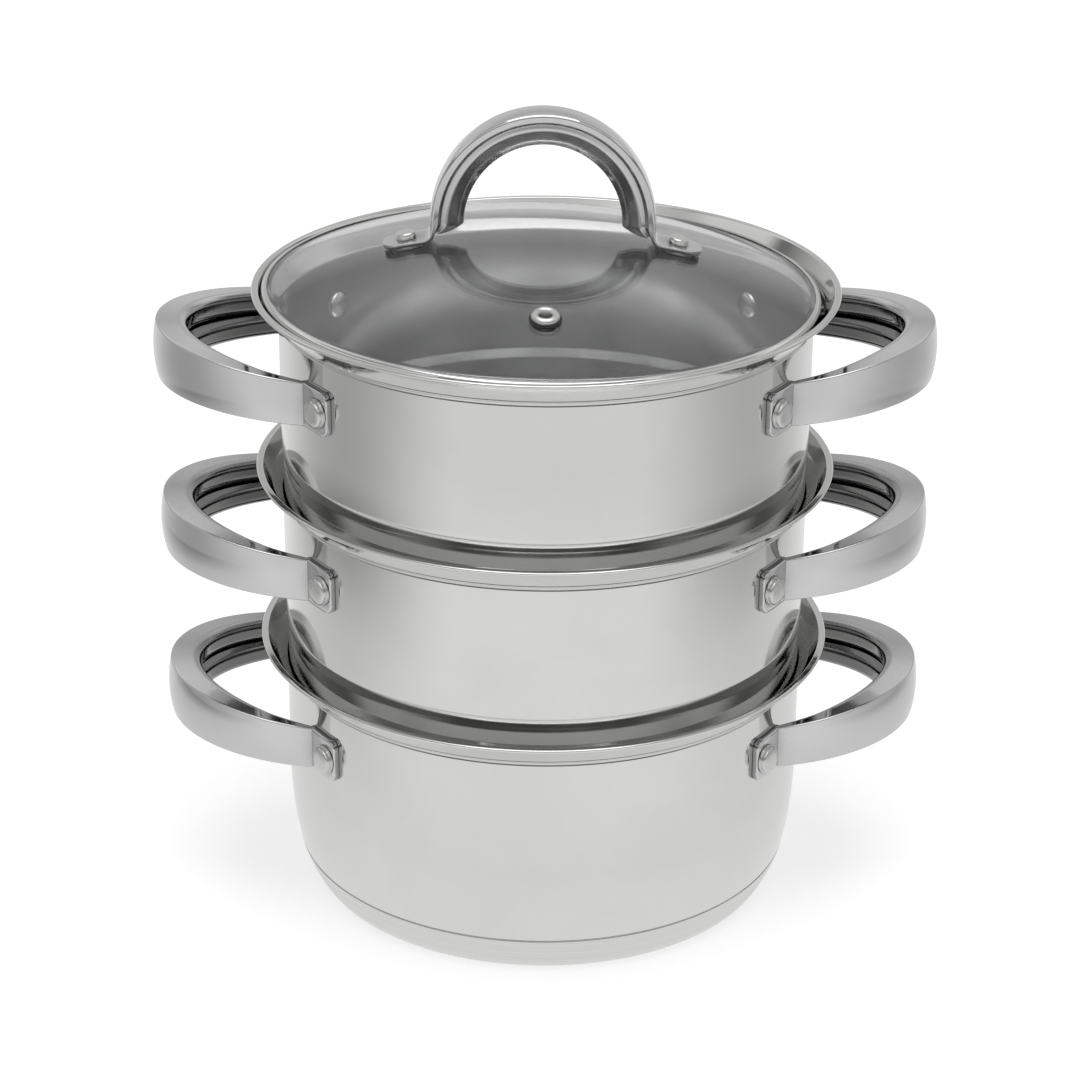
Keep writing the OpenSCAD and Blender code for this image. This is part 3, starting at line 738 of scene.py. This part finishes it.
def foot_plate(bm, lip, end):
    """The flat foot, bent to the wall, with rounded far corners and a pressed border."""
    border, border_drop = 0.35, 0.5
    middle = lip - HANDLE_DROP
    r = PLATE_CORNER_R
    straight = PLATE_FAR - r
    stations = [-PLATE_BACK + (straight + PLATE_BACK) * i / 14 for i in range(15)]
    stations += [straight + r * math.sin(math.pi / 2 * i / 8) for i in range(1, 9)]
    top, low = [], []
    for s in stations:
        over = max(0, s - straight)
        half = HANDLE_H / 2 - r + math.sqrt(max(0, r * r - over * over))
        angle = math.radians(end * RIVET_ANGLE) + end * s / PLATE_R
        outer, inner = [], []
        for k in range(-6, 7):
            u = math.copysign(1 - (1 - abs(k) / 6) ** 2, k)
            to_edge = max(0, min(1, 1 - min(half * (1 - abs(u)), PLATE_FAR - s) / border))
            face = PLATE_R + (PLATE_T - border_drop * to_edge)
            for row, radius in ((outer, face), (inner, PLATE_R)):
                row.append((radius * math.cos(angle), radius * math.sin(angle), middle + half * u))
        top.append(outer)
        low.append(inner)
    slab(bm, top, low)


def side_handle(body, lip, side, turn):
    """A side handle: two foot plates and the hollow loop between them."""
    bm = bmesh.new()
    for end in (-1, 1):
        foot_plate(bm, lip, end)
    soften(bm, 0.2, 2)
    steps = 112
    sweep(bm, [loop_ring(math.radians(90 - 180 * i / steps), lip) for i in range(steps + 1)])
    make(f"{body}_handle_loop_{side}", bm, body, [f"{body}_handle_{side}"], HANDLE_STEEL_PAINTED_SHADE,
         turned(turn), sharp=32)


def side_rivets(body, lip, side, turn):
    """Two rivets: a domed head on a collar outside, the shank, and a low bucked head inside."""
    outer = PLATE_R + PLATE_T + FIT_GAP
    inner = math.sqrt(NECK_R ** 2 - INNER_HEAD_R ** 2) - FIT_GAP
    bucked = [(0, -1.9), (1.2, -1.87), (2.4, -1.72), (3.4, -1.38), (4.1, -0.92), (4.55, -0.4),
              (INNER_HEAD_R, -0.05), (4.62, 0), (SHANK_R, 0)]
    domed = [(SHANK_R, 0), (4.85, 0), (5.0, 0.15), (5.0, 0.75), (4.88, 0.9), (4.62, 0.92), (4.6, 1.1),
             (4.62, 1.7), (4.5, 2.05), (4.2, 2.35), (3.7, 2.6), (3.0, 2.8), (2.1, 2.93), (1.0, 2.99),
             (0, 3.0)]
    bm = bmesh.new()
    for end in (-1, 1):
        at = turned(turn + end * RIVET_ANGLE) @ Matrix.Translation((0, 0, lip - HANDLE_DROP))
        lathe(bm, raised(bucked, inner) + raised(domed, outer), 64,
              matrix=at @ Matrix.Rotation(math.pi / 2, 4, "Y"))
    make(f"{body}_rivet_pair_{side}", bm, body, [f"{body}_rivets_{side}"], RIVET_STEEL,
         sharp=45)


# Lid

LID = Matrix.Translation((-LID_SHIFT, 0, BAND_MID_Z)) @ Matrix.Rotation(LID_TILT, 4, "Y")
LID = LID @ Matrix.Translation((0, 0, -BAND_MID_Z)) @ turned(LID_TURN)


def on_dome(turn, tilt):
    """Stands a part on the dome, away from its top by a tilt in radians."""
    return Matrix.Translation((0, 0, DOME_Z)) @ turned(turn) @ Matrix.Rotation(tilt, 4, "Y")


AT_VENT = LID @ on_dome(VENT_TURN - 90, VENT_TILT)


def vent_bore():
    """A solid the size of the vent's hole through the glass, in metres."""
    bm = bmesh.new()
    low = DOME_R - GLASS_T * 2
    top = DOME_R + GLASS_T
    r = VENT_TUBE_R + FIT_GAP
    lathe(bm, [(0, low), (r, low), (r, top), (0, top)], 48, matrix=AT_VENT)
    bmesh.ops.recalc_face_normals(bm, faces=bm.faces)
    bmesh.ops.scale(bm, vec=(MM, MM, MM), verts=bm.verts)
    mesh = bpy.data.meshes.new("vent_bore")
    bm.to_mesh(mesh)
    bm.free()
    tool = bpy.data.objects.new("vent_bore", mesh)
    bpy.context.scene.collection.objects.link(tool)
    return tool


def cut_away(piece, tool):
    """Takes a solid out of a piece, and removes that solid from the scene."""
    cut = piece.modifiers.new("cut", "BOOLEAN")
    cut.operation = "DIFFERENCE"
    cut.solver = "EXACT"
    cut.object = tool
    graph = bpy.context.evaluated_depsgraph_get()
    done = bpy.data.meshes.new_from_object(piece.evaluated_get(graph))
    piece.modifiers.clear()
    old = piece.data
    piece.data = done
    done.name = old.name
    bpy.data.meshes.remove(old)
    bpy.data.objects.remove(tool)


def lid_glass():
    """The dome between its two spheres, with a round brim and the hole for the vent."""
    half = math.degrees(math.asin(BRIM_R / DOME_R))
    inner_r = DOME_R - GLASS_T
    in_half = math.degrees(math.asin(BRIM_R / inner_r))
    in_z = BAND_MID_Z - GLASS_T / 2 - inner_r * math.cos(math.radians(in_half))
    path = arc(0, in_z, inner_r, 90, 90 - in_half, 72)
    path += arc(BAND_MID_R, BAND_MID_Z, GLASS_T / 2 - FIT_GAP, -90, 90, 12)
    path += arc(0, DOME_Z, DOME_R, 90 - half, 90, 72)
    path[0] = (0, path[0][1])
    path[-1] = (0, path[-1][1])
    bm = bmesh.new()
    lathe(bm, path)
    piece = make("lid_glass_dome", bm, "lid", ["lid_glass"], GLASS, LID, sharp=30)
    cut_away(piece, vent_bore())


def lid_band():
    """The steel band rolled round the brim, with a short flat lip on both faces of the glass."""
    t = BAND_T - FIT_GAP
    lip = BAND_MID_R - BAND_LIP_W
    low = BAND_MID_Z - BAND_HALF_T
    top = BAND_MID_Z + BAND_HALF_T
    path = [(lip, low + 0.2), (lip + 0.1, low)]
    path += arc(BAND_MID_R, BAND_MID_Z, BAND_HALF_T, -90, 90, 24)
    path += [(lip + 0.1, top), (lip, top - 0.2), (lip, top - t)]
    path += arc(BAND_MID_R, BAND_MID_Z, BAND_HALF_T - t, 90, -90, 24)
    path += [(lip, low + t)]
    bm = bmesh.new()
    lathe(bm, path, closed=True)
    make("lid_band_ring", bm, "lid", ["lid_band"], STEEL, LID, sharp=30)


# Lid handle

# A foot of the lid's handle, seen from the front: its normal, its way out, and its top face at the rivet
FOOT_UP = Vector((math.sin(FOOT_TILT), math.cos(FOOT_TILT)))
FOOT_OUT = Vector((math.cos(FOOT_TILT), -math.sin(FOOT_TILT)))
FOOT_TOP = PAD_T + STRAP_T
FOOT_AT_RIVET = Vector((0, DOME_Z)) + DOME_R * FOOT_UP + FOOT_TOP * FOOT_UP

# Each foot turns up into a leg with a fillet round this centre
LEG_X = ARCH_HALF_W - STRAP_INSET
FOOT_CORNER = FOOT_AT_RIVET + (LEG_X - FOOT_AT_RIVET.x) / FOOT_OUT.x * FOOT_OUT
FILLET_Z = FOOT_FILLET * (1 - math.sin(FOOT_TILT)) / math.cos(FOOT_TILT)
FILLET = FOOT_CORNER + Vector((FOOT_FILLET, FILLET_Z))
LEG_END_Z = FILLET.y - STRAP_T / 2


def arch_section(d):
    """The arch's section as (depth, width): a strap with soft edges and a narrower channel inside."""
    w = ARCH_W / 2
    t = ARCH_SHEET
    full = d / ARCH_DEPTH
    bow = [(ARCH_BOW * (1 - (i / 5) ** 2), w * i / 5) for i in range(-3, 4)]
    half = [(d - 1.2 * full, 0.6), (d, 0.6 + 1.2 * full, 1.6 * full), (d, w - 3.6 * full, 1.6 * full),
            (9.0 * full, w - 1.6 * full, 3.0 * full), (5.2 * full, w - 0.5 * full, 2.5 * full),
            (3.4 * full, w - 0.9 * full, 0.4 * full), (2.5 * full, w, 0.4 * full), (0, w, 1.1 * full)]
    out = half + [(-depth, -q) for depth, q in bow]
    out += [(p[0], -p[1], *p[2:]) for p in reversed(half)]
    inner = [(d - 1.2 * full - t, 0.6), (d - t, 0.6 + 1.5 * full, 1.0 * full),
             (d - t, w - 3.9 * full, 1.0 * full), (8.6 * full, w - 1.6 * full - t, 2.2 * full),
             (5.2 * full, w - 0.5 * full - t, 2.0 * full), (3.6 * full, w - 0.9 * full - t, 0.4 * full),
             (2.6 * full, w - t, 0.3 * full), (t, w - t, 0.4 * full)]
    back = [(p[0], -p[1], *p[2:]) for p in inner]
    back += [(t - depth, q) for depth, q in bow] + inner[::-1]
    return rounded(out, 6) + rounded(back, 6)


def arch_ring(x, z, out_x, out_z, d):
    """The section set at a point of the arch, with its depth against the outward direction."""
    return [(x - out_x * p, q, z - out_z * p) for p, q in arch_section(d)]


def leg_rings(sign):
    """One leg, from its thin foot up to the springing."""
    steps = 24
    rings = []
    for i in range(steps):
        share = i / steps
        d = LEG_FOOT_T + (ARCH_DEPTH - LEG_FOOT_T) * share ** 0.5
        z = LEG_END_Z + (SPRING_Z - LEG_END_Z) * share
        rings.append(arch_ring(sign * ARCH_HALF_W, z, sign, 0, d))
    return rings


def top_rings():
    """The arch above its springing, half an ellipse."""
    steps = 120
    rings = []
    for i in range(steps + 1):
        t = math.pi * i / steps
        out_x, out_z = ARCH_H * math.cos(t), ARCH_HALF_W * math.sin(t)
        length = math.hypot(out_x, out_z)
        rings.append(arch_ring(ARCH_HALF_W * math.cos(t), SPRING_Z + ARCH_H * math.sin(t),
                               out_x / length, out_z / length, ARCH_DEPTH))
    return rings


def lid_feet(bm):
    """Both feet: the strap comes down the leg, turns out on a fillet and ends round past the rivet."""
    half = ARCH_W / 2 - STRAP_INSET
    last = 270 - math.degrees(FOOT_TILT)
    end_r = FOOT_END_R
    straight = FOOT_PAST - end_r
    upper = [Vector((LEG_X, LEG_END_Z + STRAP_T))]
    upper += [Vector(p) for p in arc(FILLET.x, FILLET.y, FOOT_FILLET, 180, last, 14)]
    lower = [Vector((LEG_X - STRAP_T, LEG_END_Z + STRAP_T))]
    lower += [Vector(p) for p in arc(FILLET.x, FILLET.y, FOOT_FILLET + STRAP_T, 180, last, 14)]
    widths = [half] * len(upper)
    first = (upper[-1] - FOOT_AT_RIVET).dot(FOOT_OUT)
    stops = [first + (straight - first) * i / 8 for i in range(1, 9)]
    stops += [straight + end_r * math.sin(math.pi / 2 * i / 10) for i in range(1, 11)]
    for s in stops:
        upper.append(FOOT_AT_RIVET + s * FOOT_OUT)
        lower.append(FOOT_AT_RIVET + s * FOOT_OUT - STRAP_T * FOOT_UP)
        over = max(0, s - straight)
        widths.append(half - end_r + math.sqrt(max(0, end_r ** 2 - over ** 2)))
    for sign in (1, -1):
        top = [[(sign * p.x, w * k / 6, p.y) for k in range(-6, 7)] for p, w in zip(upper, widths)]
        low = [[(sign * p.x, w * k / 6, p.y) for k in range(-6, 7)] for p, w in zip(lower, widths)]
        slab(bm, top, low)


def lid_handle():
    """The lid's handle: a hollow arch on two flat feet."""
    bm = bmesh.new()
    lid_feet(bm)
    soften(bm, 0.4, 3)
    sweep(bm, leg_rings(1) + top_rings() + leg_rings(-1)[::-1])
    make("lid_handle_arch", bm, "lid", ["lid_handle"], HANDLE_STEEL_PAINTED_SHADE, LID, sharp=32)


# Small parts of the lid, as paths round their own axes, with heights from the middle of the dome

WASHER_Z = DOME_R - GLASS_T - WASHER_T


def at_both_feet(name, path, hidden, material):
    """A round part at both feet of the lid's handle."""
    bm = bmesh.new()
    for turn in (0, 180):
        lathe(bm, path, 64, closed=path[0][0] > 0, matrix=LID @ on_dome(turn, FOOT_TILT))
    make(name, bm, "lid", [hidden], material, sharp=40)


def lid_rivets():
    """Rivets with a low bucked head under the washer and a domed head on the foot."""
    r = LID_HEAD_R
    bucked = [(0, -1.6), (1.2, -1.52), (2.2, -1.2), (3.0, -0.65), (r, -0.15), (r - 0.1, 0),
              (LID_SHANK_R, 0)]
    domed = [(LID_SHANK_R, 0), (r - 0.15, 0), (r, 0.15), (r, 1.6), (r - 0.15, 1.95), (r - 0.5, 2.2),
             (r - 1.1, 2.34), (1.2, 2.39), (0, 2.4)]
    at_both_feet("lid_rivet_pair", raised(bucked, WASHER_Z) + raised(domed, DOME_R + FOOT_TOP),
                 "lid_handle_rivets", RIVET_STEEL)


def lid_pads():
    """Clear pads between the feet and the glass."""
    bore = LID_SHANK_R + FIT_GAP
    path = [(bore, 0.05), (6.3, 0.05), (6.5, 0.25), (6.5, 0.75), (6.3, 0.95), (bore, 0.95)]
    at_both_feet("lid_pad_pair", raised(path, DOME_R), "lid_handle_pads", CLEAR_SILICONE)


def lid_washers():
    """Clear washers under the glass."""
    bore = LID_SHANK_R + FIT_GAP
    path = [(bore, 0), (5.3, 0), (5.5, 0.2), (5.5, 0.9), (5.3, 1.1), (bore, 1.1)]
    at_both_feet("lid_washer_pair", raised(path, WASHER_Z), "lid_handle_washers", CLEAR_SILICONE)


def at_vent(name, path, hidden, material):
    """A round part at the vent."""
    bm = bmesh.new()
    lathe(bm, path, 72, closed=True, matrix=AT_VENT)
    make(name, bm, "lid", [hidden], material, sharp=40)


def steam_vent():
    """The eyelet: a flange rolled over below the glass, the tube and a round collar on the gasket."""
    flange = [(VENT_HOLE_R, -0.6), (3.5, -0.6), (3.76, -0.3), (3.76, 0), (VENT_TUBE_R, 0)]
    collar = [(VENT_TUBE_R, 0), (4.4, 0), (4.6, 0.12), (4.7, 0.5), (4.66, 0.95), (4.45, 1.4), (4.1, 1.75),
              (3.65, 1.95), (3.2, 2.0), (2.8, 1.9), (2.45, 1.65), (2.15, 1.3), (VENT_HOLE_R, 0.9)]
    path = raised(flange, DOME_R - GLASS_T - 0.8) + raised(collar, DOME_R + 0.8)
    at_vent("vent_eyelet", path, "steam_vent", RIVET_STEEL)


def vent_gasket():
    """The dark ring between the collar and the glass."""
    bore = VENT_TUBE_R + FIT_GAP
    path = [(bore, 0.05), (5.2, 0.05), (5.3, 0.2), (5.3, 0.65), (5.15, 0.8), (bore, 0.8)]
    at_vent("vent_gasket_ring", raised(path, DOME_R), "vent_gasket", DARK_SILICONE)


pot_shell()
base_cap()
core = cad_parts["pot_base_core"]
core.data.materials.clear()
core.data.materials.append(CORE)
for body, lip in LIPS.items():
    if body != "pot":
        steamer_shell(body, lip)
    for side, turn in SIDES.items():
        side_handle(body, lip, side, turn)
        side_rivets(body, lip, side, turn)
lid_glass()
lid_band()
lid_handle()
lid_rivets()
lid_pads()
lid_washers()
steam_vent()
vent_gasket()


# Camera: fitted to the rims, the walls, the lid band and the base in the photo

# Turn about the object in degrees, the photo's width and the focal length in its pixels, the sensor in mm
VIEW_TURN = -1.3
PHOTO_WIDTH = 1080
FOCAL_LENGTH = 3018.35
SENSOR_WIDTH = 36.0
position = Vector((1.731, -968.098, 546.899)) * MM
right = Vector((0.999956, 0.006351, 0.006928))
up = Vector((-0.008892, 0.400715, 0.916160))
ahead = Vector((-0.00304, 0.91618, -0.40075))
camera = bpy.data.objects.new("camera", bpy.data.cameras.new("camera"))
camera.data.sensor_width = SENSOR_WIDTH
camera.data.lens = FOCAL_LENGTH / PHOTO_WIDTH * SENSOR_WIDTH
camera.data.clip_start = 0.01
axes = Matrix((right, up, -ahead)).transposed().to_4x4()
camera.matrix_world = turned(VIEW_TURN) @ Matrix.Translation(position) @ axes
bpy.context.scene.collection.objects.link(camera)
bpy.context.scene.camera = camera


# Floor and light

# Half the width of the table, in metres, its colour, and the glow that whitens it for the camera
TABLE_HALF_W = 12.0
TABLE_COLOUR = (0.80, 0.80, 0.80, 1)
TABLE_GLOW = 0.52

# How bright the table's painted glow is in the metal, by distance from the object over this reach
TABLE_REACH = 1.2
TABLE_TONES = ((0.07, 0.80), (0.13, 0.77), (0.19, 0.81), (0.31, 0.81), (0.44, 0.745), (1.0, 0.74))

# How much of that is missing to the left and right, where the table falls into shade
SHADE_TONES = ((0.12, 0.04), (0.18, 0.16), (0.26, 0.28), (0.31, 0.50), (0.37, 0.64), (0.40, 0.47),
               (0.7, 0.47))
SHADE_FROM = 0.55
SHADE_POWER = 1.9
SHADE_RIGHT = 0.78

# The room as the metal sees it, by the sine of the height above the horizon
BACK_TONES = ((0.0, 0.58), (0.2, 0.60), (0.38, 0.47), (0.48, 0.60), (0.56, 0.76), (0.66, 0.76),
              (0.76, 0.50), (1.0, 0.42))
FRONT_TONES = ((0.0, 0.72), (0.10, 0.55), (0.24, 0.16), (0.485, 0.13), (0.515, 0.92), (0.70, 0.92),
               (0.78, 0.35), (1.0, 0.60))
SIDE_TONES = ((0.0, 0.50), (0.25, 0.30), (0.36, 0.16), (0.41, 0.80), (0.58, 0.80), (0.66, 0.25),
              (1.0, 0.50))


def maths(tree, operation, *values):
    """One math node; each value is a number or a socket."""
    n = node(tree, "ShaderNodeMath", operation=operation)
    for i, value in enumerate(values):
        if isinstance(value, (int, float)):
            n.inputs[i].default_value = value
        else:
            tree.links.new(value, n.inputs[i])
    return n.outputs[0]


def tones(tree, value, stops):
    """A grey ramp with a tone at each place from 0 to 1."""
    n = node(tree, "ShaderNodeValToRGB")
    ramp = n.color_ramp
    for i, (at, tone) in enumerate(stops):
        e = ramp.elements[i] if i < 2 else ramp.elements.new(at)
        e.position = at
        e.color = (tone, tone, tone, 1)
    tree.links.new(value, n.inputs["Fac"])
    return n.outputs["Color"]


def plan_view(tree, vector):
    """The x, y and z of a vector, and its length in plan."""
    parts = node(tree, "ShaderNodeSeparateXYZ")
    tree.links.new(vector, parts.inputs[0])
    x, y, z = parts.outputs
    square = maths(tree, "ADD", maths(tree, "MULTIPLY", x, x), maths(tree, "MULTIPLY", y, y))
    return x, y, z, maths(tree, "MAXIMUM", maths(tree, "SQRT", square), 0.0001)


def plain_table(tree, rays):
    """The table as it looks to the camera: white cloth with the object's shadow."""
    cloth = node(tree, "ShaderNodeBsdfDiffuse")
    cloth.inputs["Color"].default_value = TABLE_COLOUR
    glow = node(tree, "ShaderNodeEmission")
    strength = maths(tree, "MULTIPLY", rays.outputs["Is Camera Ray"], TABLE_GLOW)
    tree.links.new(strength, glow.inputs["Strength"])
    both = node(tree, "ShaderNodeAddShader")
    tree.links.new(cloth.outputs[0], both.inputs[0])
    tree.links.new(glow.outputs[0], both.inputs[1])
    return both.outputs[0]


def mirrored_table(tree):
    """The table as the metal sees it: a painted glow in the tones above, with painted shade that is less
    on the right than on the left.
    """
    x, _, _, away = plan_view(tree, node(tree, "ShaderNodeNewGeometry").outputs["Position"])
    share = maths(tree, "DIVIDE", away, TABLE_REACH)
    aside = maths(tree, "DIVIDE", maths(tree, "ABSOLUTE", x), away)
    aside = maths(tree, "POWER", span(tree, aside, 0.0, 1.0, SHADE_FROM, 1.0), SHADE_POWER)
    rightward = span(tree, maths(tree, "DIVIDE", x, away), 1.0, SHADE_RIGHT, 0.0, 1.0)
    aside = maths(tree, "MULTIPLY", aside, rightward)
    shade = maths(tree, "MULTIPLY", aside, tones(tree, share, SHADE_TONES))
    tone = maths(tree, "MULTIPLY", tones(tree, share, TABLE_TONES), maths(tree, "SUBTRACT", 1.0, shade))
    light = node(tree, "ShaderNodeEmission")
    tree.links.new(tone, light.inputs["Strength"])
    return light.outputs[0]


def floor():
    """A white table, which the metal and the glass see as a glow of painted light and shade."""
    mesh = bpy.data.meshes.new("floor")
    half = TABLE_HALF_W
    corners = [(-half, -half, 0), (half, -half, 0), (half, half, 0), (-half, half, 0)]
    mesh.from_pydata(corners, [], [(0, 1, 2, 3)])
    piece = bpy.data.objects.new("floor", mesh)
    bpy.context.scene.collection.objects.link(piece)
    m = bpy.data.materials.new("floor")
    m.use_nodes = True
    tree = m.node_tree
    tree.nodes.clear()
    rays = node(tree, "ShaderNodeLightPath")
    pick = node(tree, "ShaderNodeMixShader")
    glossy, through = rays.outputs["Is Glossy Ray"], rays.outputs["Is Transmission Ray"]
    tree.links.new(maths(tree, "MAXIMUM", glossy, through), pick.inputs[0])
    tree.links.new(plain_table(tree, rays), pick.inputs[1])
    tree.links.new(mirrored_table(tree), pick.inputs[2])
    out = node(tree, "ShaderNodeOutputMaterial")
    tree.links.new(pick.outputs[0], out.inputs["Surface"])
    piece.data.materials.append(m)


def sky():
    """White for the camera; in the metal a pale wall behind, greyer sides and a dark room in front."""
    world = bpy.data.worlds.new("room")
    bpy.context.scene.world = world
    world.use_nodes = True
    tree = world.node_tree
    tree.nodes.clear()
    out = node(tree, "ShaderNodeOutputWorld")
    back = node(tree, "ShaderNodeBackground")
    tree.links.new(back.outputs[0], out.inputs["Surface"])
    _, y, z, away = plan_view(tree, node(tree, "ShaderNodeTexCoord").outputs["Generated"])
    depth = maths(tree, "DIVIDE", y, away)
    behind = span(tree, depth, 0.0, 1.0, 0.5, 0.95)
    ahead_of = span(tree, depth, 0.0, 1.0, -0.25, -0.75)
    tone = tones(tree, z, SIDE_TONES)
    for share, stops in ((behind, BACK_TONES), (ahead_of, FRONT_TONES)):
        mix = node(tree, "ShaderNodeMix", data_type="RGBA")
        tree.links.new(share, mix.inputs["Factor"])
        tree.links.new(tone, mix.inputs["A"])
        tree.links.new(tones(tree, z, stops), mix.inputs["B"])
        tone = mix.outputs["Result"]
    rays = node(tree, "ShaderNodeLightPath")
    pick = node(tree, "ShaderNodeMix", data_type="RGBA")
    pick.inputs["B"].default_value = (1, 1, 1, 1)
    tree.links.new(rays.outputs["Is Camera Ray"], pick.inputs["Factor"])
    tree.links.new(tone, pick.inputs["A"])
    tree.links.new(pick.outputs["Result"], back.inputs["Color"])


def lamp(name, at, target, width, height, power):
    """A soft rectangular light, in metres and watts, aimed at a target."""
    light = bpy.data.lights.new(name, "AREA")
    light.shape = "RECTANGLE"
    light.size = width
    light.size_y = height
    light.energy = power
    piece = bpy.data.objects.new(name, light)
    bpy.context.scene.collection.objects.link(piece)
    piece.location = at
    piece.rotation_euler = (Vector(target) - Vector(at)).to_track_quat("-Z", "Y").to_euler()


floor()
sky()
lamp("softbox_top", (0.0, -0.35, 2.4), (0, -0.15, 0.1), 2.0, 2.0, 20)
bpy.context.scene.view_settings.view_transform = "Standard"
